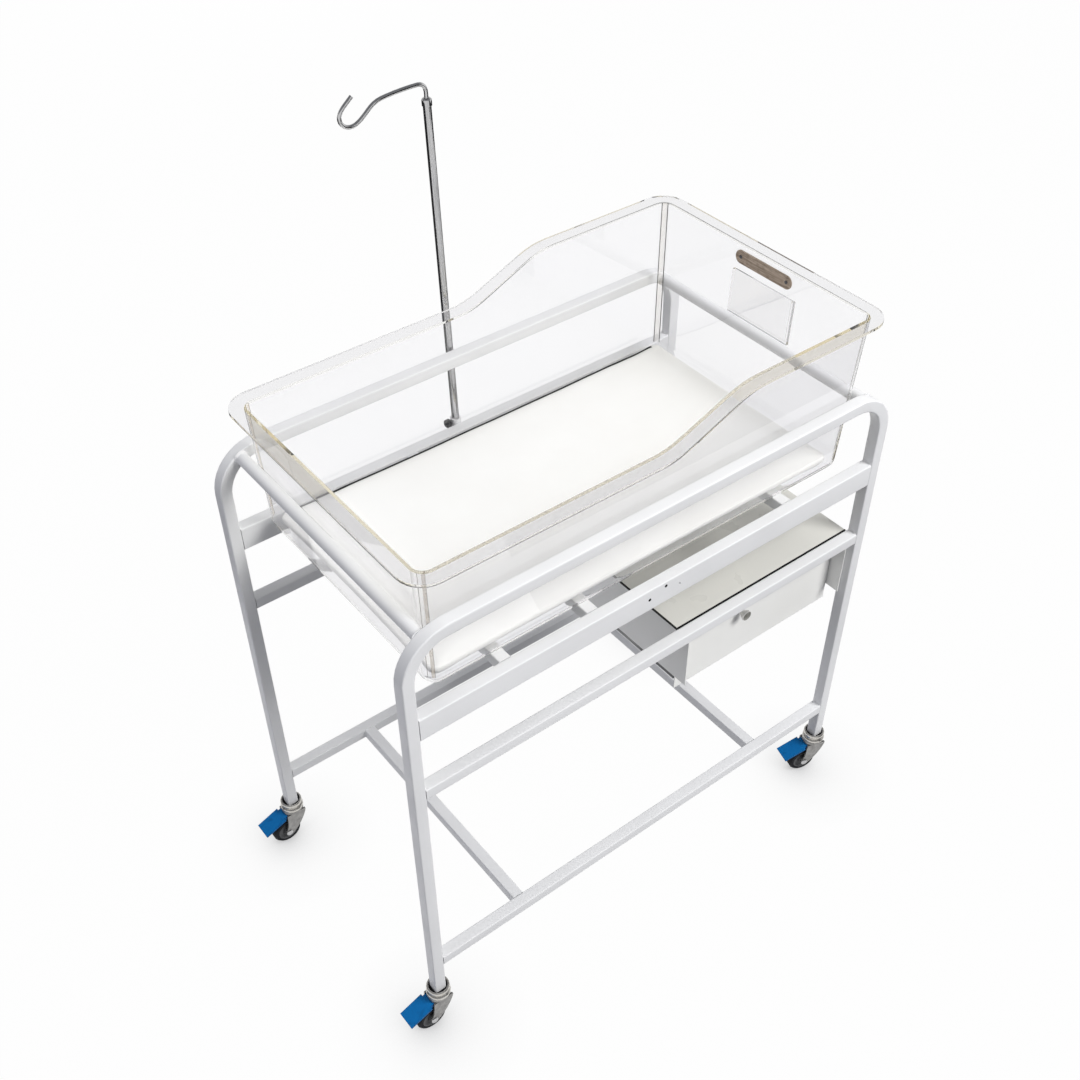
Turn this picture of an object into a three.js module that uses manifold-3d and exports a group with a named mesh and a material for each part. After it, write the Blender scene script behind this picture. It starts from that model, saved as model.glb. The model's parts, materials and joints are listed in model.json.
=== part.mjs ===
import * as THREE from 'three';
import { mergeVertices } from 'three/addons/utils/BufferGeometryUtils.js';
import Module from 'manifold-3d';

// Hospital bassinet on a steel tube frame. Millimetres, +Z up.
// The long side with the drawer faces -Y and the head end is at +X.

// Frame
const frameLength = 886;
const frameWidth = 490;
const tubeSize = 20;
const tubeRound = 2.2;
const legFoot = 90;
const archTop = 883;
const bendRadius = 76;
const footRailTop = 178;
const lowerRailTop = 599;
const upperRailTop = 742;
const upperRailHeight = 40;
const endTubeRadius = 9.5;
const endTubeInset = 44;
const floorBarInset = 181;
const supportBarShares = [-0.643, -0.2884, 0.6052];
const railHoleRadius = 1.9;
const railHoleDepth = 3;

// Clearances
const seatGap = 0.3;
const runGap = 0.35;
const slideGap = 1.2;
const shelfFrontGap = 2.2;
const drawerBackGap = 48.2;
const tubSideGap = 5;
const tubEndGap = 11.5;
const mattressSideGap = 5;

const halfLength = frameLength / 2;
const halfWidth = frameWidth / 2;
const innerLength = frameLength - 2 * tubeSize;
const innerWidth = frameWidth - 2 * tubeSize;
const endTubeX = halfLength - endTubeInset;
const floorBarX = halfLength - floorBarInset;
const supportBarX = supportBarShares.map((share) => (share * innerLength) / 2);

// Tub: it hangs between the two arches and between the two end tubes.
const tubX = -2;
const tubY = -2;
const tubWall = 3.4;
const tubEndDraft = 10;
const tubSideDraft = 11;
const tubFloorLength = 2 * (endTubeX - endTubeRadius - tubEndGap);
const tubRimLength = tubFloorLength + 2 * tubEndDraft;
const tubRimWidth = innerWidth - 2 * tubSideGap;
const tubFloorWidth = tubRimWidth - 2 * tubSideDraft;
const tubLowDepth = 216;
const tubHighDepth = 271;
const tubCorner = 17;
const tubFloorRound = 15;
const flangeReach = 18.5;
const flangeThick = 5;
const flangeCorner = 40;
const stepStart = 3;
const stepEnd = 133;
const stepRound = 26;

// Mattress
const mattressThick = 22;
const mattressCrown = 3;
const mattressCorner = 14;
const mattressPull = 2.5;

// Drawer and its housing
const shelfInset = 25;
const shelfLength = 370;
const shelfLip = 8;
const shelfOverhang = 15;
const sheetThick = 1.6;
const housingHeight = 115;
const runnerHeight = 11;
const runnerLap = 1.5;
const runnerWidth = 11;
const drawerFrontDrop = 30;
const drawerFrontRecess = 26;
const trayDrop = 6.8;
const knobOffset = -37.4;
const knobDrop = 30;
const knobLength = 16;
const knobFaceRadius = 9;
const knobStemRadius = 2.5;
const shelfRight = halfLength - shelfInset;
const shelfLeft = shelfRight - shelfLength;
const housingLeft = shelfLeft + shelfLip;
const housingRight = shelfRight - shelfOverhang;
const panelBottom = lowerRailTop - housingHeight;
const drawerFrontBottom = panelBottom - drawerFrontDrop;
const knobX = (housingLeft + housingRight) / 2 + knobOffset;

// Card holder and name plate on the head wall
const cardWidth = 130;
const cardHeight = 74;
const cardDrop = 50;
const cardGap = 3;
const cardSheet = 2;
const plateWidth = 118;
const plateHeight = 22;
const plateThick = 1.2;
const plateDrop = 22;
const plateY = -6;
const rivetRadius = 3;
const rivetRise = 1.2;

// Drip pole
const poleX = -15.5;
const poleLean = 1.556;
const poleRadius = 6;
const poleBore = 3.5;
const poleTop = 1269;
const socketRadius = 8.6;
const socketDrop = 52;
const socketRise = 6;
const socketFloor = 4;
const collarRadius = 7.2;
const collarHeight = 10;
const rodRadius = 3;
const rodTailLength = 270;
const hookLength = 134.6;
const clampDrop = 5.5;
const clampRadius = 7;
const clampLength = 9;
const clampStem = 2;
const socketBottom = upperRailTop - socketDrop;
const socketTop = upperRailTop + socketRise;
const clampZ = socketTop - clampDrop;

// Casters
const wheelRadius = 27;
const wheelWidth = 20;
const wheelTrail = 21;
const hubRadius = 19;
const axleRadius = 4;
const cupRadius = 19.4;
const cupBore = 15.8;
const cupRim = 5.6;
const raceRadius = 20.4;
const raceNeck = 17;
const raceTop = 88;
const raceBottom = 77.5;
const hoodUnder = 70;
const hoodRear = -19;
const hoodFront = 18;
const forkPlate = 3;
const forkSideGap = 1.6;
const pedalWidth = 33;
const pedalThick = 3;
const pinRadius = 2.2;
const pinX = -8;
const pinZ = 64.5;
const pedalRoot = [-23.5, 66.2];
const pedalTip = [-65, 50];
const frontHeadYaw = -16;

const wasm = await Module();
wasm.setup();
const { Manifold, Mesh: SolidMesh } = wasm;

function toSolid(geometry) {
  const plain = geometry.clone();
  plain.deleteAttribute('normal');
  plain.deleteAttribute('uv');
  const merged = mergeVertices(plain, 1e-4);
  return new Manifold(new SolidMesh({
    numProp: 3,
    vertProperties: new Float32Array(merged.attributes.position.array),
    triVerts: new Uint32Array(merged.index.array),
  }));
}

function toGeometry(solid) {
  const mesh = solid.getMesh();
  const geometry = new THREE.BufferGeometry();
  const positions = new Float32Array(mesh.numVert * 3);
  for (let i = 0; i < mesh.numVert; i += 1) {
    for (let k = 0; k < 3; k += 1) {
      positions[i * 3 + k] = mesh.vertProperties[i * mesh.numProp + k];
    }
  }
  geometry.setAttribute('position', new THREE.BufferAttribute(positions, 3));
  geometry.setIndex(new THREE.BufferAttribute(new Uint32Array(mesh.triVerts), 1));
  return geometry;
}

const assembly = new THREE.Group();
assembly.name = 'hospital_bassinet';

function addPiece(name, geometry, color, roughness, metalness, opacity) {
  const material = new THREE.MeshStandardMaterial({ color, roughness, metalness });
  if (opacity < 1) {
    material.transparent = true;
    material.opacity = opacity;
  }
  const mesh = new THREE.Mesh(geometry, material);
  mesh.name = name;
  assembly.add(mesh);
  return mesh;
}

const paint = (name, geometry) => addPiece(name, geometry, 0xe4e6e6, 0.45, 0.1, 1);
const sheet = (name, geometry) => addPiece(name, geometry, 0xe9e9e4, 0.5, 0.1, 1);
const steel = (name, geometry) => addPiece(name, geometry, 0xb4b6b8, 0.25, 0.9, 1);
const grey = (name, geometry) => addPiece(name, geometry, 0x8b8d8e, 0.4, 0.7, 1);
const black = (name, geometry) => addPiece(name, geometry, 0x1b1b1d, 0.7, 0, 1);
const clear = (name, geometry) => addPiece(name, geometry, 0xf3f2ea, 0.05, 0, 0.35);

function roundedRect(width, height, radius) {
  const w = width / 2;
  const h = height / 2;
  const shape = new THREE.Shape();
  shape.moveTo(-w + radius, -h);
  shape.lineTo(w - radius, -h);
  shape.absarc(w - radius, -h + radius, radius, -Math.PI / 2, 0, false);
  shape.lineTo(w, h - radius);
  shape.absarc(w - radius, h - radius, radius, 0, Math.PI / 2, false);
  shape.lineTo(-w + radius, h);
  shape.absarc(-w + radius, h - radius, radius, Math.PI / 2, Math.PI, false);
  shape.lineTo(-w, -h + radius);
  shape.absarc(-w + radius, -h + radius, radius, Math.PI, Math.PI * 1.5, false);
  return shape;
}

function extrude(shape, depth, segments) {
  return new THREE.ExtrudeGeometry(shape, { depth, bevelEnabled: false, curveSegments: segments, steps: 1 });
}

// Square or flat tube lying along X, given its middle and its section in Y and Z.
function tubeAlongX(length, wide, high, x, y, z) {
  const geometry = extrude(roundedRect(high, wide, tubeRound), length, 1);
  geometry.translate(0, 0, -length / 2);
  geometry.rotateY(Math.PI / 2);
  geometry.translate(x, y, z);
  return geometry;
}

function tubeAlongY(length, wide, high, x, y, z) {
  const geometry = extrude(roundedRect(wide, high, tubeRound), length, 1);
  geometry.translate(0, 0, -length / 2);
  geometry.rotateX(Math.PI / 2);
  geometry.translate(x, y, z);
  return geometry;
}

// Box between two corners.
function block(x0, x1, y0, y1, z0, z1) {
  const geometry = new THREE.BoxGeometry(x1 - x0, y1 - y0, z1 - z0);
  geometry.translate((x0 + x1) / 2, (y0 + y1) / 2, (z0 + z1) / 2);
  return geometry;
}

// Turned piece about Z. The profile is a list of radius and height pairs.
function turned(profile, segments) {
  const geometry = new THREE.LatheGeometry(profile.map((p) => new THREE.Vector2(p[0], p[1])), segments);
  geometry.rotateX(Math.PI / 2);
  return toGeometry(toSolid(geometry));
}

function turnedRing(profile, segments) {
  return turned([...profile, profile[0]], segments);
}

// Plate drawn in X and Z, with its thickness along Y from y0 to y1.
function plateXZ(shape, y0, y1, segments) {
  const geometry = extrude(shape, y1 - y0, segments);
  geometry.rotateX(Math.PI / 2);
  geometry.translate(0, y1, 0);
  return geometry;
}

function polygon(points) {
  const shape = new THREE.Shape();
  shape.moveTo(points[0][0], points[0][1]);
  for (const point of points.slice(1)) {
    shape.lineTo(point[0], point[1]);
  }
  return shape;
}

// Closed solid through a stack of rings that all have the same number of points.
function loft(rings) {
  const count = rings[0].length;
  const positions = [];
  const index = [];
  for (const ring of rings) {
    for (const point of ring) {
      positions.push(point[0], point[1], point[2]);
    }
  }
  for (let r = 0; r < rings.length - 1; r += 1) {
    for (let i = 0; i < count; i += 1) {
      const a = r * count + i;
      const b = r * count + ((i + 1) % count);
      index.push(a, b, b + count, a, b + count, a + count);
    }
  }
  const cap = (ring, start, flip) => {
    const middle = [0, 1, 2].map((k) => ring.reduce((sum, point) => sum + point[k], 0) / count);
    const hub = positions.length / 3;
    positions.push(...middle);
    for (let i = 0; i < count; i += 1) {
      const a = start + i;
      const b = start + ((i + 1) % count);
      index.push(...(flip ? [hub, b, a] : [hub, a, b]));
    }
  };
  cap(rings[0], 0, true);
  cap(rings[rings.length - 1], (rings.length - 1) * count, false);
  const geometry = new THREE.BufferGeometry();
  geometry.setAttribute('position', new THREE.BufferAttribute(new Float32Array(positions), 3));
  geometry.setIndex(index);
  return geometry;
}

// Rounded rectangle as a ring of points at height z.
function ringAt(halfX, halfY, corner, z, steps) {
  const points = [];
  const centres = [[1, 1, 0], [-1, 1, 90], [-1, -1, 180], [1, -1, 270]];
  for (const [sx, sy, start] of centres) {
    for (let i = 0; i <= steps; i += 1) {
      const angle = THREE.MathUtils.degToRad(start + (90 * i) / steps);
      const x = sx * (halfX - corner) + corner * Math.cos(angle);
      const y = sy * (halfY - corner) + corner * Math.sin(angle);
      points.push([x, y, z]);
    }
  }
  return points;
}

// Side arches: one bent square tube each, from caster to caster.
function archGeometry() {
  const r = bendRadius;
  const s = tubeSize;
  const shape = new THREE.Shape();
  shape.moveTo(-halfLength, legFoot);
  shape.lineTo(-halfLength + s, legFoot);
  shape.lineTo(-halfLength + s, archTop - r);
  shape.absarc(-halfLength + r, archTop - r, r - s, Math.PI, Math.PI / 2, true);
  shape.lineTo(halfLength - r, archTop - s);
  shape.absarc(halfLength - r, archTop - r, r - s, Math.PI / 2, 0, true);
  shape.lineTo(halfLength - s, legFoot);
  shape.lineTo(halfLength, legFoot);
  shape.lineTo(halfLength, archTop - r);
  shape.absarc(halfLength - r, archTop - r, r, 0, Math.PI / 2, false);
  shape.lineTo(-halfLength + r, archTop);
  shape.absarc(-halfLength + r, archTop - r, r, Math.PI / 2, Math.PI, false);
  const geometry = new THREE.ExtrudeGeometry(shape, {
    depth: s - 2 * tubeRound,
    bevelEnabled: true,
    bevelThickness: tubeRound,
    bevelSize: tubeRound,
    bevelOffset: -tubeRound,
    bevelSegments: 2,
    curveSegments: 5,
    steps: 1,
  });
  geometry.rotateX(Math.PI / 2);
  geometry.translate(0, s / 2 - tubeRound, 0);
  return toGeometry(toSolid(geometry));
}

const sideY = halfWidth - tubeSize / 2;
for (const [side, sign] of [['front', -1], ['back', 1]]) {
  const arch = archGeometry();
  arch.translate(0, sign * sideY, 0);
  paint(`${side}_arch`, arch);
}

// End tubes join the two arches at their bends.
const bendMiddle = bendRadius - tubeSize / 2;
const endTubeZ = archTop - bendRadius
  + Math.sqrt(bendMiddle ** 2 - (endTubeX - (halfLength - bendRadius)) ** 2);
for (const [end, sign] of [['foot', -1], ['head', 1]]) {
  const geometry = new THREE.CylinderGeometry(endTubeRadius, endTubeRadius, innerWidth - 2 * seatGap, 20);
  geometry.translate(sign * endTubeX, 0, endTubeZ);
  paint(`${end}_end_tube`, geometry);
}

// Long rails between the legs of each arch.
const railLength = innerLength - 2 * seatGap;
const railRows = [
  ['upper_rail', upperRailTop, upperRailHeight],
  ['lower_rail', lowerRailTop, tubeSize],
  ['foot_rail', footRailTop, tubeSize],
];
for (const [side, sign] of [['front', -1], ['back', 1]]) {
  for (const [row, top, high] of railRows) {
    const rail = tubeAlongX(railLength, tubeSize, high, 0, sign * sideY, top - high / 2);
    if (side === 'front' && row === 'upper_rail') {
      let solid = toSolid(rail);
      for (const [x, drop] of [[-33, 18], [-3, 8], [24, 18.5]]) {
        const drill = new THREE.CylinderGeometry(railHoleRadius, railHoleRadius, 2 * railHoleDepth, 10);
        drill.translate(x, -halfWidth, upperRailTop - drop);
        solid = solid.subtract(toSolid(drill));
      }
      paint(`${side}_${row}`, toGeometry(solid));
    } else {
      paint(`${side}_${row}`, rail);
    }
  }
}

// Cross bars between the front and back rails.
const barLength = innerWidth - 2 * seatGap;
for (const [end, sign] of [['foot', -1], ['head', 1]]) {
  const bar = tubeAlongY(barLength, tubeSize, tubeSize, sign * floorBarX, 0, footRailTop - tubeSize / 2);
  paint(`${end}_floor_bar`, bar);
}
supportBarX.forEach((x, i) => {
  const bar = tubeAlongY(barLength, tubeSize, tubeSize, x, 0, upperRailTop - tubeSize / 2);
  paint(`tub_support_bar_${i + 1}`, bar);
});

// Drawer housing: a top shelf, two side panels notched under the front rail, a back and two runners.
const shelfTop = lowerRailTop;
const shelfUnder = shelfTop - sheetThick;
const railBack = halfWidth - tubeSize;
const shelf = block(
  shelfLeft, shelfRight, -railBack + shelfFrontGap, railBack - seatGap, shelfUnder, shelfTop);
sheet('drawer_shelf', shelf);
const panelTop = shelfUnder - seatGap;
const notchTop = lowerRailTop - tubeSize - seatGap;
const panelBack = railBack - seatGap;
function panelGeometry(x0, x1) {
  const shape = polygon([
    [-halfWidth + 0.5, panelBottom],
    [panelBack, panelBottom],
    [panelBack, panelTop],
    [-railBack + seatGap, panelTop],
    [-railBack + seatGap, notchTop],
    [-halfWidth + 0.5, notchTop],
  ]);
  const geometry = extrude(shape, x1 - x0, 1);
  geometry.rotateX(Math.PI / 2);
  geometry.rotateZ(Math.PI / 2);
  geometry.translate(x0, 0, 0);
  return geometry;
}
sheet('drawer_panel_foot', panelGeometry(housingLeft, housingLeft + sheetThick));
sheet('drawer_panel_head', panelGeometry(housingRight - sheetThick, housingRight));
const bayLeft = housingLeft + sheetThick;
const bayRight = housingRight - sheetThick;
const backPlate = block(
  bayLeft + seatGap, bayRight - seatGap, panelBack - sheetThick, panelBack, panelBottom, panelTop);
sheet('drawer_back_plate', backPlate);
const runnerFront = -halfWidth + drawerFrontRecess + sheetThick + slideGap;
const runnerBack = panelBack - sheetThick - seatGap;
const runnerZ1 = panelBottom + runnerLap;
const runnerZ0 = runnerZ1 - runnerHeight;
const runnerFoot = block(
  bayLeft + seatGap, bayLeft + runnerWidth, runnerFront, runnerBack, runnerZ0, runnerZ1);
const runnerHead = block(
  bayRight - runnerWidth, bayRight - seatGap, runnerFront, runnerBack, runnerZ0, runnerZ1);
addPiece('drawer_runner_foot', runnerFoot, 0x56585b, 0.5, 0.6, 1);
addPiece('drawer_runner_head', runnerHead, 0x56585b, 0.5, 0.6, 1);

// Drawer: a sheet tray behind a taller front, with a turned knob.
const frontFace = -halfWidth + drawerFrontRecess;
const frontTop = lowerRailTop - tubeSize - slideGap * 2;
const drawerFront = block(
  bayLeft + slideGap, bayRight - slideGap, frontFace, frontFace + sheetThick, drawerFrontBottom, frontTop);
sheet('drawer_front', drawerFront);
const trayBottom = runnerZ1 + seatGap;
const trayFrontY = frontFace + sheetThick + seatGap;
const trayX0 = bayLeft + 2 * slideGap;
const trayX1 = bayRight - 2 * slideGap;
const trayBackY = panelBack - sheetThick - drawerBackGap;
const trayTop = frontTop - trayDrop;
const trayOuter = block(trayX0, trayX1, trayFrontY, trayBackY, trayBottom, trayTop);
const trayInner = block(
  trayX0 + sheetThick, trayX1 - sheetThick, trayFrontY + sheetThick, trayBackY - sheetThick,
  trayBottom + sheetThick, trayTop + 5);
sheet('drawer_tray', toGeometry(toSolid(trayOuter).subtract(toSolid(trayInner))));
const knobProfile = [
  [0, 0],
  [knobStemRadius + 1, 0],
  [knobStemRadius, 2],
  [knobFaceRadius, knobLength - 3],
  [knobFaceRadius, knobLength - 0.8],
  [knobFaceRadius - 0.8, knobLength],
  [0, knobLength],
];
const knob = turned(knobProfile, 18);
knob.rotateX(Math.PI / 2);
knob.translate(knobX, frontFace - seatGap, frontTop - knobDrop);
grey('drawer_knob', knob);

// Tub: tapered clear shell with a stepped flange.
const tubBottom = upperRailTop + seatGap;
const tubFloor = tubBottom + tubWall;
const tubLow = tubBottom + tubLowDepth;
const tubHigh = tubBottom + tubHighDepth;
const draftX = (tubRimLength - tubFloorLength) / 2 / tubHighDepth;
const draftY = (tubRimWidth - tubFloorWidth) / 2 / tubHighDepth;
const halfX = (z) => tubFloorLength / 2 + draftX * (z - tubBottom);
const halfY = (z) => tubFloorWidth / 2 + draftY * (z - tubBottom);
const cornerSteps = 7;
function shellRings(grow, bottom, round, top) {
  const rings = [];
  for (let i = 0; i <= 4; i += 1) {
    const angle = (Math.PI / 2) * (i / 4);
    const z = bottom + round * (1 - Math.cos(angle));
    const inset = round * (1 - Math.sin(angle));
    const swell = grow - inset;
    rings.push(ringAt(halfX(z) + swell, halfY(z) + swell, tubCorner + swell, z, cornerSteps));
  }
  rings.push(ringAt(halfX(top) + grow, halfY(top) + grow, tubCorner + grow, top, cornerSteps));
  return rings;
}
function stepCurve(shape, offset) {
  const low = tubLow + offset;
  const high = tubHigh + offset;
  const run = stepEnd - stepStart;
  const slope = Math.hypot(run, high - low);
  const dx = (stepRound * run) / slope;
  const dz = (stepRound * (high - low)) / slope;
  shape.lineTo(stepStart - stepRound, low);
  shape.quadraticCurveTo(stepStart, low, stepStart + dx, low + dz);
  shape.lineTo(stepEnd - dx, high - dz);
  shape.quadraticCurveTo(stepEnd, high, stepEnd + stepRound, high);
}
const reach = tubRimLength;
const cutSpare = tubLowDepth / 4;
const belowRim = new THREE.Shape();
belowRim.moveTo(-reach, tubBottom - cutSpare);
belowRim.lineTo(-reach, tubLow);
stepCurve(belowRim, 0);
belowRim.lineTo(reach, tubHigh);
belowRim.lineTo(reach, tubBottom - cutSpare);
const aboveFlange = new THREE.Shape();
aboveFlange.moveTo(-reach, tubHigh + cutSpare);
aboveFlange.lineTo(-reach, tubLow - flangeThick);
stepCurve(aboveFlange, -flangeThick);
aboveFlange.lineTo(reach, tubHigh - flangeThick);
aboveFlange.lineTo(reach, tubHigh + cutSpare);
const underSolid = toSolid(plateXZ(belowRim, -tubRimWidth, tubRimWidth, 4));
const overSolid = toSolid(plateXZ(aboveFlange, -tubRimWidth, tubRimWidth, 4));
const outerWall = toSolid(loft(shellRings(tubWall, tubBottom, tubFloorRound + tubWall, tubHigh + 20)));
const innerRoom = toSolid(loft(shellRings(0, tubFloor, tubFloorRound, tubHigh + 30)));
const rimGrow = tubWall + flangeReach;
const rimX = halfX(tubHigh) + rimGrow;
const rimY = halfY(tubHigh) + rimGrow;
const rimBlock = toSolid(loft([
  ringAt(rimX, rimY, flangeCorner, tubLow - 20, cornerSteps),
  ringAt(rimX, rimY, flangeCorner, tubHigh + 20, cornerSteps),
]));
const flangeSolid = rimBlock.intersect(overSolid).intersect(underSolid);
const tubSolid = outerWall.intersect(underSolid).add(flangeSolid).subtract(innerRoom);
const tubGeometry = toGeometry(tubSolid);
tubGeometry.translate(tubX, tubY, 0);
clear('tub', tubGeometry);

// Card holder outside and name plate inside, both leaning with the head wall.
const lean = Math.atan(draftX);
function onHeadWall(geometry, outward, drop, y) {
  const z = tubHigh - drop;
  geometry.rotateY(lean);
  geometry.translate(tubX + halfX(z) + (outward ? tubWall + seatGap : -seatGap), tubY + y, z);
  return geometry;
}
const cardOuter = block(0, cardGap + cardSheet, -cardWidth / 2, cardWidth / 2, -cardHeight, 0);
const cardRoom = block(-5, cardGap, -cardWidth / 2 + 4, cardWidth / 2 - 4, -cardHeight + 4, 10);
const cardSolid = toSolid(cardOuter).subtract(toSolid(cardRoom));
clear('card_holder', onHeadWall(toGeometry(cardSolid), true, cardDrop, plateY));
const plateShape = roundedRect(plateWidth, plateHeight, plateHeight / 2 - 0.1);
const plate = extrude(plateShape, plateThick, 4);
plate.rotateX(Math.PI / 2);
plate.rotateZ(Math.PI / 2);
plate.translate(-plateThick, 0, 0);
addPiece('name_plate', onHeadWall(plate, false, plateDrop, plateY), 0xa58d70, 0.4, 0.6, 1);
for (const [side, sign] of [['front', -1], ['back', 1]]) {
  const rivet = turned([[0, 0], [rivetRadius, 0], [rivetRadius * 0.8, rivetRise * 0.7], [0, rivetRise]], 12);
  rivet.rotateY(-Math.PI / 2);
  rivet.translate(-plateThick - seatGap, sign * (plateWidth / 2 - plateHeight / 2), 0);
  steel(`name_plate_rivet_${side}`, onHeadWall(rivet, false, plateDrop, plateY));
}

// Mattress: crowned pad with sides drawn in between its corners.
const padX = tubFloorLength / 2 - mattressSideGap;
const padY = tubFloorWidth / 2 - mattressSideGap;
function padRing(inset, z, shrink) {
  const points = [];
  const cornerParts = 6;
  const sideParts = 8;
  const corner = Math.max(mattressCorner - inset, 4);
  const hx = padX - inset;
  const hy = padY - inset;
  const base = ringAt(hx, hy, corner, z, cornerParts);
  const perCorner = cornerParts + 1;
  for (let c = 0; c < 4; c += 1) {
    for (let i = 0; i < perCorner; i += 1) {
      points.push(base[c * perCorner + i]);
    }
    const from = base[c * perCorner + perCorner - 1];
    const to = base[((c + 1) % 4) * perCorner];
    for (let i = 1; i < sideParts; i += 1) {
      const t = i / sideParts;
      const pull = mattressPull * Math.sin(Math.PI * t) ** 1.2;
      const x = from[0] + (to[0] - from[0]) * t;
      const y = from[1] + (to[1] - from[1]) * t;
      const along = c % 2 === 0;
      points.push([along ? x : x - Math.sign(x) * pull, along ? y - Math.sign(y) * pull : y, z]);
    }
  }
  return points.map((point) => [point[0] * shrink, point[1] * shrink, point[2]]);
}
const padBottom = tubFloor + seatGap;
const padProfile = [
  [13, 0], [6, 3.5], [1.2, 8], [0, 11.5], [0, 17], [0.8, 19.6], [2.8, 21],
];
const padRings = padProfile.map(([inset, rise]) => padRing(inset, padBottom + rise, 1));
for (const f of [0.08, 0.22, 0.45, 0.7, 0.9]) {
  const rise = mattressThick - 0.6 + mattressCrown * (1 - (1 - f) ** 2);
  padRings.push(padRing(4, padBottom + rise, 1 - f));
}
const padGeometry = loft(padRings);
padGeometry.translate(tubX, tubY, 0);
addPiece('mattress', padGeometry, 0xf4f2ea, 0.9, 0, 1);

// Drip pole in a socket behind the back rail.
const poleY = halfWidth + socketRadius + seatGap;
function onPole(geometry) {
  geometry.translate(0, 0, -socketBottom);
  geometry.rotateY(THREE.MathUtils.degToRad(-poleLean));
  geometry.translate(poleX, poleY, socketBottom);
  return geometry;
}
const socketProfile = [
  [0, socketBottom],
  [socketRadius, socketBottom],
  [socketRadius, socketTop],
  [poleRadius + runGap, socketTop],
  [poleRadius + runGap, socketBottom + socketFloor],
  [0, socketBottom + socketFloor],
];
paint('pole_socket', onPole(turned(socketProfile, 20)));
const poleFoot = socketBottom + socketFloor + seatGap;
const poleProfile = [
  [poleBore, poleFoot],
  [poleRadius, poleFoot],
  [poleRadius, poleTop],
  [poleBore, poleTop],
];
steel('drip_pole', onPole(turnedRing(poleProfile, 20)));
const collarProfile = [
  [poleBore, poleTop + seatGap],
  [collarRadius, poleTop + seatGap],
  [collarRadius, poleTop + collarHeight - 1.5],
  [collarRadius - 1.5, poleTop + collarHeight],
  [poleBore, poleTop + collarHeight],
];
steel('pole_collar', onPole(turnedRing(collarProfile, 20)));

// The hook rod runs down inside the pole and bends over towards the foot end.
class HookPath extends THREE.CatmullRomCurve3 {
  getUtoTmapping(u) {
    return u;
  }
}
const rodBase = poleTop + collarHeight;
const hookScale = hookLength / 134.6;
const hookPoints = [
  [0, -rodTailLength / hookScale], [0, -10], [0, 1], [0, 10], [-2.3, 17], [-8.5, 21.2], [-17, 22],
  [-36, 22.2], [-62, 21],
  [-76, 19], [-86, 14.5], [-94, 8.5], [-103, 2], [-112, -2.6], [-121, -3.5], [-129, 0], [-134, 6.5],
  [-134.6, 14], [-131, 21], [-123, 28], [-113, 35.5],
];
const hookCurve = new HookPath(
  hookPoints.map((p) => new THREE.Vector3(hookScale * p[0], 0, rodBase + hookScale * p[1])),
  false,
  'centripetal',
);
const rodShape = new THREE.Shape();
rodShape.absarc(0, 0, rodRadius, 0, Math.PI * 2, false);
const hook = new THREE.ExtrudeGeometry(rodShape, {
  steps: (hookPoints.length - 1) * 2,
  curveSegments: 5,
  bevelEnabled: false,
  extrudePath: hookCurve,
});
steel('drip_hook_rod', onPole(toGeometry(toSolid(hook))));

// Clamp knob on the foot side of the socket.
const clampProfile = [
  [0, 0],
  [2.6, 0],
  [2.6, clampStem],
  [clampRadius - 1, clampStem],
  [clampRadius, clampStem + 1],
  [clampRadius, clampStem + clampLength - 1.5],
  [clampRadius - 1.5, clampStem + clampLength],
  [0, clampStem + clampLength],
];
const clamp = turned(clampProfile, 12);
clamp.rotateY(-Math.PI / 2);
clamp.translate(-socketRadius - seatGap, 0, clampZ);
black('clamp_knob', onPole(clamp));

// Swivel casters, trailing towards the foot end, each with a brake pedal.
const cupProfile = [
  [0, raceTop + seatGap],
  [raceNeck, raceTop + seatGap],
  [cupRadius - 0.8, raceTop + 1.2],
  [cupRadius, raceTop + 3],
  [cupRadius, legFoot + cupRim - 3],
  [cupRadius - 0.6, legFoot + cupRim - 1],
  [cupRadius - 1.6, legFoot + cupRim],
  [cupBore, legFoot + cupRim],
  [cupBore, legFoot - seatGap],
  [0, legFoot - seatGap],
];
const raceProfile = [
  [0, raceBottom],
  [raceRadius - 2.2, raceBottom],
  [raceRadius - 0.6, raceBottom + 1],
  [raceRadius, raceBottom + 2.6],
  [raceRadius - 0.2, raceBottom + 4.4],
  [raceRadius - 1.4, raceBottom + 6],
  [raceNeck, raceBottom + 6.8],
  [raceNeck, raceTop],
  [0, raceTop],
];
const forkTop = raceBottom - seatGap;
const hubWidth = wheelWidth + 2;
const forkInner = hubWidth / 2 + forkSideGap;
const forkOuter = forkInner + forkPlate;
const axleX = -wheelTrail;
const axleZ = wheelRadius;

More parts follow.
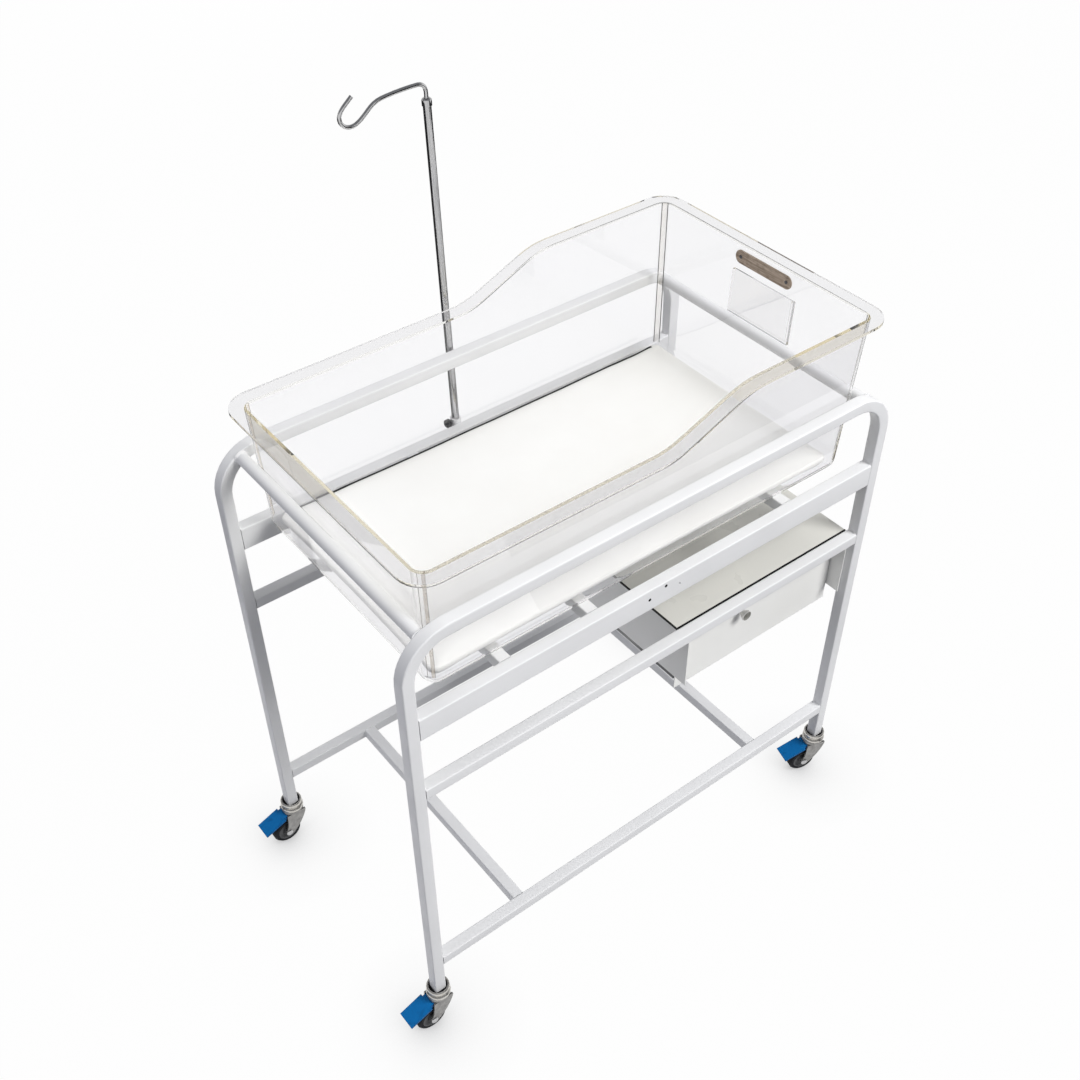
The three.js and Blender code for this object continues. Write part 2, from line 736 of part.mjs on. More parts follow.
// The fork is a rounded hood with a flat cheek on each side, and carries the axle and the pedal pin.
function forkGeometry() {
  const hoodMiddle = (hoodFront + hoodRear) / 2;
  const hoodHalf = (hoodFront - hoodRear) / 2;
  const shift = (ring) => ring.map((point) => [point[0] + hoodMiddle, point[1], point[2]]);
  let solid = toSolid(loft([
    shift(ringAt(hoodHalf, forkOuter, 11, hoodUnder, 4)),
    shift(ringAt(hoodHalf, forkOuter, 11, hoodUnder + 2.5, 4)),
    shift(ringAt(hoodHalf - 0.6, forkOuter - 0.4, 11, hoodUnder + 5, 4)),
    shift(ringAt(hoodHalf - 2, forkOuter - 1.6, 11, forkTop, 4)),
  ]));
  const cheek = new THREE.Shape();
  cheek.moveTo(hoodRear + 0.5, hoodUnder + 1);
  cheek.lineTo(hoodRear - 0.6, hoodUnder - 16);
  cheek.quadraticCurveTo(hoodRear - 1.5, axleZ + 12, axleX - 5.5, axleZ + 4);
  cheek.quadraticCurveTo(axleX - 8, axleZ - 1, axleX - 4, axleZ - 5);
  cheek.quadraticCurveTo(axleX + 1, axleZ - 9, axleX + 8, axleZ - 5);
  cheek.quadraticCurveTo(2, axleZ + 7, hoodFront - 8, axleZ + 22);
  cheek.quadraticCurveTo(hoodFront - 1.5, axleZ + 34, hoodFront, hoodUnder - 1);
  cheek.lineTo(hoodFront - 0.5, hoodUnder + 1);
  for (const [y0, y1] of [[-forkOuter, -forkInner], [forkInner, forkOuter]]) {
    solid = solid.add(toSolid(plateXZ(cheek, y0, y1, 3)));
  }
  const pin = new THREE.CylinderGeometry(pinRadius, pinRadius, 2 * forkInner + forkPlate, 10);
  pin.translate(pinX, 0, pinZ);
  const axle = new THREE.CylinderGeometry(axleRadius, axleRadius, 2 * forkOuter + 3, 14);
  axle.translate(axleX, 0, axleZ);
  return toGeometry(solid.add(toSolid(pin)).add(toSolid(axle)));
}

// The pedal is a wide sloping blade on a narrower tab that turns on the pin between the cheeks.
function pedalGeometry() {
  const tabHalf = forkInner - 0.6;
  const down = Math.atan2(pedalRoot[1] - pedalTip[1], pedalRoot[0] - pedalTip[0]);
  const t = pedalThick / 2;
  const nx = -Math.sin(down) * t;
  const nz = Math.cos(down) * t;
  const backX = pedalRoot[0] - 4 * Math.cos(down);
  const backZ = pedalRoot[1] - 4 * Math.sin(down);
  const tab = polygon([
    [pinX - 4, pinZ - 4],
    [pinX + 2.5, pinZ - 4],
    [pinX + 4.4, pinZ - 1.6],
    [pinX + 4.4, pinZ + 1.6],
    [pinX + 2.5, pinZ + 4],
    [pinX - 4, pinZ + 4.2],
    [pedalRoot[0] + 2 + nx, pedalRoot[1] + 0.8 + nz],
    [backX + nx, backZ + nz],
    [backX - nx, backZ - nz],
  ]);
  const blade = polygon([
    [pedalRoot[0] + nx, pedalRoot[1] + nz],
    [pedalTip[0] + nx, pedalTip[1] + nz],
    [pedalTip[0] - nx, pedalTip[1] - nz],
    [pedalRoot[0] - nx, pedalRoot[1] - nz],
  ]);
  const bore = new THREE.CylinderGeometry(pinRadius + runGap, pinRadius + runGap, 4 * forkOuter, 10);
  bore.translate(pinX, 0, pinZ);
  const solid = toSolid(plateXZ(tab, -tabHalf, tabHalf, 1))
    .add(toSolid(plateXZ(blade, -pedalWidth / 2, pedalWidth / 2, 1)))
    .subtract(toSolid(bore));
  return toGeometry(solid);
}

const tyreProfile = [
  [hubRadius + seatGap, -wheelWidth / 2],
  [wheelRadius - 3, -wheelWidth / 2],
  [wheelRadius, -wheelWidth / 2 + 4],
  [wheelRadius, wheelWidth / 2 - 4],
  [wheelRadius - 3, wheelWidth / 2],
  [hubRadius + seatGap, wheelWidth / 2],
];
const hubProfile = [
  [axleRadius + runGap, -hubWidth / 2],
  [axleRadius + 4, -hubWidth / 2],
  [axleRadius + 5, -wheelWidth / 2 + 3],
  [hubRadius - 3, -wheelWidth / 2 + 3],
  [hubRadius, -wheelWidth / 2],
  [hubRadius, wheelWidth / 2],
  [hubRadius - 3, wheelWidth / 2 - 3],
  [axleRadius + 5, wheelWidth / 2 - 3],
  [axleRadius + 4, hubWidth / 2],
  [axleRadius + runGap, hubWidth / 2],
];

const casterSpots = [
  ['front_foot', -1, -1, 0],
  ['front_head', 1, -1, frontHeadYaw],
  ['back_foot', -1, 1, 0],
  ['back_head', 1, 1, 0],
];
for (const [name, signX, signY, yaw] of casterSpots) {
  const x = signX * (halfLength - tubeSize / 2);
  const y = signY * sideY;
  const place = (geometry) => {
    geometry.rotateZ(THREE.MathUtils.degToRad(yaw));
    return geometry.translate(x, y, 0);
  };
  grey(`${name}_caster_cup`, place(turned(cupProfile, 18)));
  steel(`${name}_caster_race`, place(turned(raceProfile, 18)));
  grey(`${name}_fork`, place(forkGeometry()));
  for (const [part, profile] of [['tyre', tyreProfile], ['hub', hubProfile]]) {
    const ring = turnedRing(profile, 20);
    ring.rotateX(Math.PI / 2);
    ring.translate(axleX, 0, axleZ);
    place(ring);
    if (part === 'tyre') {
      black(`${name}_tyre`, ring);
    } else {
      grey(`${name}_hub`, ring);
    }
  }
  addPiece(`${name}_brake_pedal`, place(pedalGeometry()), 0x165c9b, 0.45, 0, 1);
}

// The origin is on the floor under the middle of the whole outline.
const outline = new THREE.Box3().setFromObject(assembly);
const shiftX = -(outline.min.x + outline.max.x) / 2;
const shiftY = -(outline.min.y + outline.max.y) / 2;
for (const mesh of assembly.children) {
  mesh.geometry.translate(shiftX, shiftY, -outline.min.z);
  mesh.geometry.computeVertexNormals();
}

export default assembly;
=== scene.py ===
import json
import math

import bmesh
import bpy
from mathutils import Matrix, Vector, noise
from mathutils.bvhtree import BVHTree

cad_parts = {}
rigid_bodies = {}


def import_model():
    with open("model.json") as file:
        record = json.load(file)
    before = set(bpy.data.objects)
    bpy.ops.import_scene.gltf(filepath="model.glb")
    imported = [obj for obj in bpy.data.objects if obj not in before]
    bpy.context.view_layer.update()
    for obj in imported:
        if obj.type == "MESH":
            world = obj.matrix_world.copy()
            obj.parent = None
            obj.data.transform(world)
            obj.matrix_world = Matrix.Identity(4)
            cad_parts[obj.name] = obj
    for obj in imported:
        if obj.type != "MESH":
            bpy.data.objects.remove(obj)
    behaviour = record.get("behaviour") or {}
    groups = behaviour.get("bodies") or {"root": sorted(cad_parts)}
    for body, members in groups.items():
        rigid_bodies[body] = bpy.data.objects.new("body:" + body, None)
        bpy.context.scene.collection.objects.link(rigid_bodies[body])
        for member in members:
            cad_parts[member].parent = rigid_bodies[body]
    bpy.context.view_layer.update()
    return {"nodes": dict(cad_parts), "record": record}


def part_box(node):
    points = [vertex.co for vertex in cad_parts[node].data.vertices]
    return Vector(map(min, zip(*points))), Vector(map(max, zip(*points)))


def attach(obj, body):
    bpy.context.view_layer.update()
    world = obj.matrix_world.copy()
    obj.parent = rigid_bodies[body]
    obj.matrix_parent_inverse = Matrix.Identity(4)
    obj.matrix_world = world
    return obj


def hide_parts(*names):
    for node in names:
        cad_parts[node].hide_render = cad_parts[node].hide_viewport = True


for leftover in list(bpy.data.objects):
    bpy.data.objects.remove(leftover, do_unlink=True)

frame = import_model()
nodes = frame["nodes"]
print("frame loaded,", len(nodes), "solids")

scene = bpy.context.scene
scene.view_settings.view_transform = "Standard"

# camera at the photograph's viewing angle: above the front foot corner
photoView = dict(
    place=(-0.944205, -1.212040, 2.016714),
    heading=0.65385,  # radians from +Y towards +X
    dip=0.7569,
    roll=-0.00712,
    lens=43.8886,
    sensor=36.0,
    shiftY=0.04,
)


def setCamera(v):
    forward = Vector((math.sin(v["heading"]) * math.cos(v["dip"]),
                      math.cos(v["heading"]) * math.cos(v["dip"]),
                      -math.sin(v["dip"])))
    right = Vector((math.cos(v["heading"]), -math.sin(v["heading"]), 0))
    up = right.cross(forward)
    c, s = math.cos(v["roll"]), math.sin(v["roll"])
    sideways = right * c + up * s
    upwards = up * c - right * s
    data = bpy.data.cameras.new("photoCamera")
    data.sensor_width = v["sensor"]
    data.lens = v["lens"]
    data.shift_y = v["shiftY"]
    data.clip_start = 0.05
    cam = bpy.data.objects.new("photoCamera", data)
    turn = Matrix((sideways, upwards, -forward)).transposed()
    cam.matrix_world = Matrix.Translation(v["place"]) @ turn.to_4x4()
    scene.collection.objects.link(cam)
    scene.camera = cam


setCamera(photoView)
print("camera set")

# small helpers for node trees: each returns a socket
def startFinish(name):
    finish = bpy.data.materials.new(name)
    finish.use_nodes = True
    tree = finish.node_tree
    shader = tree.nodes["Principled BSDF"]
    place = tree.nodes.new("ShaderNodeTexCoord").outputs["Object"]
    return finish, tree, shader, place


def grain(tree, place, scale, detail=3.0, stretch=None):
    if stretch:
        turn = tree.nodes.new("ShaderNodeMapping")
        turn.inputs["Scale"].default_value = stretch
        tree.links.new(place, turn.inputs["Vector"])
        place = turn.outputs["Vector"]
    cloud = tree.nodes.new("ShaderNodeTexNoise")
    cloud.inputs["Scale"].default_value = scale
    cloud.inputs["Detail"].default_value = detail
    tree.links.new(place, cloud.inputs["Vector"])
    return cloud.outputs["Fac"]


def spread(tree, value, low, high, toLow, toHigh):
    node = tree.nodes.new("ShaderNodeMapRange")
    node.inputs["From Min"].default_value = low
    node.inputs["From Max"].default_value = high
    node.inputs["To Min"].default_value = toLow
    node.inputs["To Max"].default_value = toHigh
    tree.links.new(value, node.inputs["Value"])
    return node.outputs["Result"]


def tones(tree, share, first, second):
    mix = tree.nodes.new("ShaderNodeMix")
    mix.data_type = "RGBA"
    tree.links.new(share, mix.inputs["Factor"])
    for socket, tone in ((mix.inputs[6], first), (mix.inputs[7], second)):
        if isinstance(tone, bpy.types.NodeSocket):
            tree.links.new(tone, socket)
        else:
            socket.default_value = (*tone, 1)
    return mix.outputs[2]


def paint(tree, shader, tone):
    tree.links.new(tone, shader.inputs["Base Color"])


def polish(tree, shader, value, gloss, less, more, low=0.3, high=0.7):
    # roughness wanders round the finish's own gloss
    tree.links.new(spread(tree, value, low, high, gloss - less, gloss + more), shader.inputs["Roughness"])


def product(tree, first, second):
    node = tree.nodes.new("ShaderNodeMath")
    node.operation = "MULTIPLY"
    tree.links.new(first, node.inputs[0])
    tree.links.new(second, node.inputs[1])
    return node.outputs[0]


def blendOf(tree, share, first, second):
    pick = tree.nodes.new("ShaderNodeMixShader")
    for socket, value in zip(pick.inputs, (share, first, second)):
        tree.links.new(value, socket)
    return pick.outputs[0]


# white sweep: the floor is pale, with painted shade from ambient occlusion close under the wheels
studio = dict(
    floorHalf=9.0,
    floorTone=(0.26, 0.262, 0.275),
    floorGlow=0.985,  # share of the floor that the lens sees as plain white
    floorUnder=0.45,  # the same close under the wheels
    shadeReach=0.15,  # how far from a wheel the floor is shaded
    shadeSpan=(0.35, 0.97),
    skyForObject=0.22,
    skyTone=(0.91, 0.92, 1.0),
    ceilingTone=(0.26, 0.265, 0.28),  # what bright metal and clear edges see overhead
    ceilingRise=(0.22, 0.60),  # where the white walls turn into it
    lamps=dict(  # place, aim, size, watts, tone
        overhead=((0.1, 0.2, 5.2), (0.0, 0.0, 0.8), 3.0, 78.0, (1.0, 0.995, 0.985)),
        front=((2.0, -3.6, 4.0), (0.0, 0.0, 0.7), 2.2, 280.0, (1.0, 0.995, 0.985)),
        foot=((-4.0, 0.4, 1.9), (0.0, 0.0, 0.5), 2.4, 42.0, (0.94, 0.945, 1.0)),
        back=((1.9, 4.6, 0.75), (0.0, 0.0, 0.55), 1.3, 60.0, (1.0, 0.995, 0.985)),
    ),
    cardTurns=(72.0, -80.0),  # degrees round the object from the lens
    cardFar=3.2,
    cardWide=1.5,
    cardHigh=3.0,
    darkTone=(0.02, 0.02, 0.022),
    matTurns=((48.0, 160.0), (-160.0, -48.0)),  # mats on the floor, degrees round the pole from the lens
    matReach=(0.95, 5.0),
    matSteps=12,
    matLift=0.001,
)


def rayShare(tree, *names):
    path = tree.nodes.new("ShaderNodeLightPath")
    total = path.outputs[names[0]]
    for name in names[1:]:
        add = tree.nodes.new("ShaderNodeMath")
        add.operation = "MAXIMUM"
        tree.links.new(total, add.inputs[0])
        tree.links.new(path.outputs[name], add.inputs[1])
        total = add.outputs[0]
    return total


def setStudio(s):
    world = bpy.data.worlds.new("whiteRoom")
    world.use_nodes = True
    scene.world = world
    tree = world.node_tree
    tree.nodes.clear()
    seen = tree.nodes.new("ShaderNodeBackground")
    seen.inputs["Strength"].default_value = 1.0
    split = tree.nodes.new("ShaderNodeSeparateXYZ")
    tree.links.new(tree.nodes.new("ShaderNodeTexCoord").outputs["Generated"], split.inputs[0])
    height = spread(tree, split.outputs["Z"], *s["ceilingRise"], 0.0, 1.0)
    hidden = product(tree, height, rayShare(tree, "Is Glossy Ray", "Is Transmission Ray"))
    white = (1.0, 1.0, 1.0)  # the lens itself sees plain white all round
    tree.links.new(tones(tree, hidden, white, s["ceilingTone"]), seen.inputs["Color"])
    sky = tree.nodes.new("ShaderNodeBackground")
    sky.inputs["Color"].default_value = (*s["skyTone"], 1)
    sky.inputs["Strength"].default_value = s["skyForObject"]
    end = tree.nodes.new("ShaderNodeOutputWorld")
    share = rayShare(tree, "Is Camera Ray", "Is Glossy Ray", "Is Transmission Ray")
    tree.links.new(blendOf(tree, share, sky.outputs[0], seen.outputs[0]), end.inputs["Surface"])

    half = s["floorHalf"]
    mesh = bpy.data.meshes.new("studioFloor")
    corners = [(-half, -half, 0), (half, -half, 0), (half, half, 0), (-half, half, 0)]
    mesh.from_pydata(corners, [], [(0, 1, 2, 3)])
    floor = bpy.data.objects.new("studioFloor", mesh)
    scene.collection.objects.link(floor)
    paper = bpy.data.materials.new("floorPaper")
    paper.use_nodes = True
    tree = paper.node_tree
    tree.nodes.clear()
    plain = tree.nodes.new("ShaderNodeBsdfDiffuse")
    plain.inputs["Color"].default_value = (*s["floorTone"], 1)
    glow = tree.nodes.new("ShaderNodeEmission")
    glow.inputs["Color"].default_value = (1, 1, 1, 1)
    share = rayShare(tree, "Is Camera Ray", "Is Glossy Ray", "Is Transmission Ray")
    # painted shade: the floor's white share drops near the wheels, by ambient occlusion
    near = tree.nodes.new("ShaderNodeAmbientOcclusion")
    near.samples = 8
    near.inputs["Distance"].default_value = s["shadeReach"]
    glowAfterPaintedShade = spread(tree, near.outputs["AO"], *s["shadeSpan"], s["floorUnder"], s["floorGlow"])
    end = tree.nodes.new("ShaderNodeOutputMaterial")
    level = product(tree, share, glowAfterPaintedShade)
    tree.links.new(blendOf(tree, level, plain.outputs[0], glow.outputs[0]), end.inputs["Surface"])
    paper.cycles.emission_sampling = "NONE"  # the white is for the lens, not a lamp
    mesh.materials.append(paper)

    for name, (place, aim, size, watts, tone) in s["lamps"].items():
        data = bpy.data.lights.new(name, "AREA")
        data.shape = "SQUARE"
        data.size = size
        data.energy = watts
        data.color = tone
        lamp = bpy.data.objects.new(name, data)
        lamp.location = place
        lamp.rotation_euler = (Vector(aim) - lamp.location).to_track_quat("-Z", "Y").to_euler()
        lamp.visible_glossy = False  # the white room gives the gloss, without hot spots
        lamp.visible_transmission = False
        scene.collection.objects.link(lamp)

    # dark cards and floor mats out of sight give the bright metal its stripes
    dark = bpy.data.materials.new("darkCard")
    dark.use_nodes = True
    shader = dark.node_tree.nodes["Principled BSDF"]
    shader.inputs["Base Color"].default_value = (*s["darkTone"], 1)
    shader.inputs["Roughness"].default_value = 1.0
    cards = []
    lensTurn = math.atan2(photoView["place"][1], photoView["place"][0])
    for number, turn in enumerate(s["cardTurns"]):
        angle = lensTurn + math.radians(turn)
        mesh = bpy.data.meshes.new(f"darkCard{number}")
        w, h = s["cardWide"] / 2, s["cardHigh"]
        mesh.from_pydata([(0, -w, 0), (0, w, 0), (0, w, h), (0, -w, h)], [], [(0, 1, 2, 3)])
        mesh.materials.append(dark)
        card = bpy.data.objects.new(f"darkCard{number}", mesh)
        card.location = (s["cardFar"] * math.cos(angle), s["cardFar"] * math.sin(angle), 0.0)
        card.rotation_euler = (0, 0, angle)
        cards.append(card)
    low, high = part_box("drip_pole")
    foot = (low + high) / 2
    lensTurn = math.atan2(photoView["place"][1] - foot.y, photoView["place"][0] - foot.x)
    for number, (first, last) in enumerate(s["matTurns"]):
        mesh = bpy.data.meshes.new(f"darkMat{number}")
        steps = s["matSteps"]
        points = []
        for i in range(steps + 1):
            angle = lensTurn + math.radians(first + (last - first) * i / steps)
            points += [(r * math.cos(angle), r * math.sin(angle), 0.0) for r in s["matReach"]]
        mesh.from_pydata(points, [], [(2 * i, 2 * i + 1, 2 * i + 3, 2 * i + 2) for i in range(steps)])
        mesh.materials.append(dark)
        mat = bpy.data.objects.new(f"darkMat{number}", mesh)
        mat.location = (foot.x, foot.y, s["matLift"])
        cards.append(mat)
    for card in cards:  # only the gloss sees them
        card.visible_camera = False
        card.visible_diffuse = False
        card.visible_shadow = False
        card.visible_transmission = False
        scene.collection.objects.link(card)


setStudio(studio)
print("studio set")


# relief and edges for the finishes
def relief(tree, shader, height, strength, depth):
    bump = tree.nodes.new("ShaderNodeBump")
    bump.inputs["Strength"].default_value = strength
    bump.inputs["Distance"].default_value = depth
    tree.links.new(height, bump.inputs["Height"])
    normal = shader.inputs["Normal"]
    if normal.is_linked:
        tree.links.new(normal.links[0].from_socket, bump.inputs["Normal"])
    tree.links.new(bump.outputs["Normal"], normal)


def edgeShare(tree, radius):
    rounded = tree.nodes.new("ShaderNodeBevel")
    rounded.samples = 3
    rounded.inputs["Radius"].default_value = radius
    facing = tree.nodes.new("ShaderNodeNewGeometry")
    dot = tree.nodes.new("ShaderNodeVectorMath")
    dot.operation = "DOT_PRODUCT"
    tree.links.new(rounded.outputs["Normal"], dot.inputs[0])
    tree.links.new(facing.outputs["Normal"], dot.inputs[1])
    return spread(tree, dot.outputs["Value"], 0.97, 0.80, 0.0, 1.0)


# edgeTone is the lighter edge: partly worn coat, partly a painted highlight
powderCoat = dict(
    tone=(0.775, 0.78, 0.79), cloudTone=(0.74, 0.745, 0.755), edgeTone=(0.86, 0.862, 0.865),
    gloss=0.40, shine=0.45, edge=0.0022,
)


def makePowderCoat(s):
    finish, tree, shader, place = startFinish("powderCoat")
    cloud = spread(tree, grain(tree, place, 9.0, 4.0), 0.35, 0.7, 0.0, 1.0)
    body = tones(tree, cloud, s["tone"], s["cloudTone"])
    patches = spread(tree, grain(tree, place, 45.0, 4.0), 0.42, 0.62, 0.0, 0.8)
    # lighter edges: partly wear of the coat, partly a painted highlight along them
    rub = product(tree, edgeShare(tree, s["edge"]), patches)
    paint(tree, shader, tones(tree, rub, body, s["edgeTone"]))
    polish(tree, shader, grain(tree, place, 28.0, 4.0), s["gloss"], 0.06, 0.08)
    shader.inputs["Specular IOR Level"].default_value = s["shine"]
    relief(tree, shader, grain(tree, place, 380.0, 2.0), 0.05, 0.0003)  # orange peel
    return finish


paintedSheet = dict(
    drawer=dict(tone=(0.87, 0.87, 0.85), cloudTone=(0.84, 0.84, 0.815),
                smudge=(0.80, 0.80, 0.775), gloss=0.34),
    # the shelf's copy is darker: painted shade from the tub and mattress above it
    shelf=dict(tone=(0.70, 0.695, 0.655), cloudTone=(0.665, 0.66, 0.62),
               smudge=(0.60, 0.595, 0.56), gloss=0.30),
)


def makePaintedSheet(name, s):
    finish, tree, shader, place = startFinish(name)
    cloud = spread(tree, grain(tree, place, 6.0, 3.0), 0.35, 0.7, 0.0, 1.0)
    body = tones(tree, cloud, s["tone"], s["cloudTone"])
    wiped = spread(tree, grain(tree, place, 3.0, 5.0, (9.0, 2.0, 1.0)), 0.52, 0.80, 0.0, 0.22)
    paint(tree, shader, tones(tree, wiped, body, s["smudge"]))
    polish(tree, shader, grain(tree, place, 22.0, 5.0), s["gloss"], 0.05, 0.12)
    relief(tree, shader, grain(tree, place, 420.0, 2.0), 0.05, 0.0003)
    relief(tree, shader, grain(tree, place, 14.0, 1.0), 0.05, 0.004)  # slight oil-canning of the sheet
    return finish


# clear sheet: light caught inside it comes out tan at the tub's edges and grey at the card holder's
clearAcrylic = dict(
    tub=dict(tone=(0.955, 0.955, 0.972), ior=1.45, depthTone=(0.90, 0.855, 0.66), density=8.0, haze=0.03,
             turns=4.5, edgeTone=(0.925, 0.89, 0.79), veil=0.02, veilTone=(0.88, 0.88, 0.92),
             shadeTone=(0.96, 0.96, 0.955)),
    card=dict(tone=(0.955, 0.955, 0.965), ior=1.45, depthTone=(0.80, 0.80, 0.80), density=8.0, haze=0.03,
              turns=4.5, edgeTone=(0.60, 0.60, 0.60), veil=0.03, veilTone=(0.88, 0.88, 0.89),
              shadeTone=(0.96, 0.96, 0.955)),
)


def makeClearAcrylic(name, s):
    finish, tree, shader, place = startFinish(name)
    shader.inputs["Base Color"].default_value = (*s["tone"], 1)
    shader.inputs["Transmission Weight"].default_value = 1.0
    shader.inputs["IOR"].default_value = s["ior"]
    haze = spread(tree, grain(tree, place, 16.0, 6.0), 0.5, 0.8, 0.0, s["haze"])
    tree.links.new(haze, shader.inputs["Roughness"])
    relief(tree, shader, grain(tree, place, 5.0, 1.0), 0.035, 0.004)  # drawn sheet is never quite flat
    through = tree.nodes.new("ShaderNodeBsdfTransparent")
    through.inputs["Color"].default_value = (*s["shadeTone"], 1)
    caught = tree.nodes.new("ShaderNodeBsdfTransparent")
    caught.inputs["Color"].default_value = (*s["edgeTone"], 1)
    dust = tree.nodes.new("ShaderNodeBsdfDiffuse")
    dust.inputs["Color"].default_value = (*s["veilTone"], 1)
    lost = tree.nodes.new("ShaderNodeMath")
    lost.operation = "GREATER_THAN"
    lost.inputs[1].default_value = s["turns"]
    path = tree.nodes.new("ShaderNodeLightPath")
    tree.links.new(path.outputs["Ray Depth"], lost.inputs[0])
    film = spread(tree, grain(tree, place, 3.5, 4.0), 0.3, 0.7, s["veil"] * 0.6, s["veil"] * 1.4)
    dusty = blendOf(tree, film, shader.outputs[0], dust.outputs[0])
    seen = blendOf(tree, lost.outputs[0], dusty, caught.outputs[0])
    share = rayShare(tree, "Is Shadow Ray", "Is Diffuse Ray")
    end = tree.nodes["Material Output"]
    tree.links.new(blendOf(tree, share, seen, through.outputs[0]), end.inputs["Surface"])
    soak = tree.nodes.new("ShaderNodeVolumeAbsorption")
    soak.inputs["Color"].default_value = (*s["depthTone"], 1)
    soak.inputs["Density"].default_value = s["density"]
    tree.links.new(soak.outputs[0], end.inputs["Volume"])
    return finish


polishedSteel = dict(tone=(0.56, 0.56, 0.565), dullTone=(0.46, 0.46, 0.465), gloss=0.11)


def makePolishedSteel(s):
    finish, tree, shader, place = startFinish("polishedSteel")
    shader.inputs["Metallic"].default_value = 1.0
    drawn = grain(tree, place, 40.0, 3.0, (8.0, 8.0, 0.25))
    paint(tree, shader, tones(tree, spread(tree, drawn, 0.4, 0.7, 0.0, 1.0), s["tone"], s["dullTone"]))
    polish(tree, shader, grain(tree, place, 35.0, 4.0), s["gloss"], 0.05, 0.10, high=0.75)
    relief(tree, shader, drawn, 0.03, 0.0002)
    return finish


castMetal = dict(
    fork=dict(tone=(0.36, 0.355, 0.345), darkTone=(0.24, 0.235, 0.23),
              brightTone=(0.62, 0.615, 0.60), gloss=0.36, rough=0.16),
    cup=dict(tone=(0.64, 0.62, 0.58), darkTone=(0.55, 0.53, 0.495),
             brightTone=(0.90, 0.89, 0.87), gloss=0.20, rough=0.03),
    # painted shade for grooves and hollows, shared by fork and cup
    paintedGrooveShade=dict(tone=(0.03, 0.03, 0.032), reach=0.007),
)


def makeCastMetal(name, s, paintedGrooveShade):
    finish, tree, shader, place = startFinish(name)
    shader.inputs["Metallic"].default_value = 0.9
    cast = spread(tree, grain(tree, place, 130.0, 4.0), 0.35, 0.68, 0.0, 1.0)
    body = tones(tree, cast, s["tone"], s["darkTone"])
    body = tones(tree, edgeShare(tree, 0.0009), body, s["brightTone"])
    nook = tree.nodes.new("ShaderNodeAmbientOcclusion")  # painted shade: darker in the grooves and hollows, by ambient occlusion
    nook.samples = 6
    nook.inputs["Distance"].default_value = paintedGrooveShade["reach"]
    grooveShadeShare = spread(tree, nook.outputs["AO"], 0.20, 0.60, 1.0, 0.0)
    paint(tree, shader, tones(tree, grooveShadeShare, body, paintedGrooveShade["tone"]))
    polish(tree, shader, grain(tree, place, 240.0, 3.0), s["gloss"], 0.06, 0.16)
    relief(tree, shader, grain(tree, place, 900.0, 3.0), s["rough"], 0.0004)
    return finish


turnedKnob = dict(
    tone=(0.70, 0.69, 0.665), faceTone=(0.30, 0.295, 0.26), edgeTone=(0.80, 0.79, 0.77), gloss=0.32,
)


def makeTurnedKnob(s):
    finish, tree, shader, place = startFinish("turnedKnob")
    shader.inputs["Metallic"].default_value = 0.55
    split = tree.nodes.new("ShaderNodeSeparateXYZ")
    tree.links.new(tree.nodes.new("ShaderNodeNewGeometry").outputs["True Normal"], split.inputs[0])
    face = spread(tree, split.outputs["Y"], -0.95, -0.75, 1.0, 0.0)  # the flat front face, turned to -Y, is darker
    rings = grain(tree, place, 90.0, 3.0, (1.0, 0.2, 1.0))
    body = tones(tree, face, s["tone"], s["faceTone"])
    paint(tree, shader, tones(tree, spread(tree, rings, 0.45, 0.75, 0.0, 0.35), body, s["edgeTone"]))
    polish(tree, shader, rings, s["gloss"], 0.05, 0.12)
    relief(tree, shader, rings, 0.08, 0.0003)
    return finish


darkSteel = dict(tone=(0.10, 0.10, 0.105), wornTone=(0.24, 0.24, 0.24), gloss=0.42)


def makeDarkSteel(s):
    finish, tree, shader, place = startFinish("darkSteel")
    shader.inputs["Metallic"].default_value = 0.6
    rub = spread(tree, grain(tree, place, 70.0, 5.0, (1.0, 0.12, 1.0)), 0.52, 0.72, 0.0, 1.0)
    paint(tree, shader, tones(tree, rub, s["tone"], s["wornTone"]))
    polish(tree, shader, rub, s["gloss"], -0.08, -0.10, 0.0, 1.0)  # rubbed patches are smoother
    relief(tree, shader, grain(tree, place, 500.0, 3.0), 0.12, 0.0004)
    return finish


bronzePlate = dict(
    tone=(0.53, 0.43, 0.345), darkTone=(0.20, 0.15, 0.11), brightTone=(0.60, 0.49, 0.38), gloss=0.40,
)


def makeBronzePlate(s):
    finish, tree, shader, place = startFinish("bronzePlate")
    shader.inputs["Metallic"].default_value = 0.55
    brushed = grain(tree, place, 90.0, 5.0, (1.0, 0.3, 9.0))
    body = tones(tree, spread(tree, brushed, 0.35, 0.7, 0.0, 1.0), s["tone"], s["darkTone"])
    tarnish = spread(tree, grain(tree, place, 120.0, 5.0), 0.50, 0.72, 0.0, 0.7)
    body = tones(tree, tarnish, body, s["darkTone"])
    paint(tree, shader, tones(tree, edgeShare(tree, 0.0008), body, s["brightTone"]))
    polish(tree, shader, brushed, s["gloss"], 0.08, 0.16)
    relief(tree, shader, brushed, 0.2, 0.0003)
    return finish


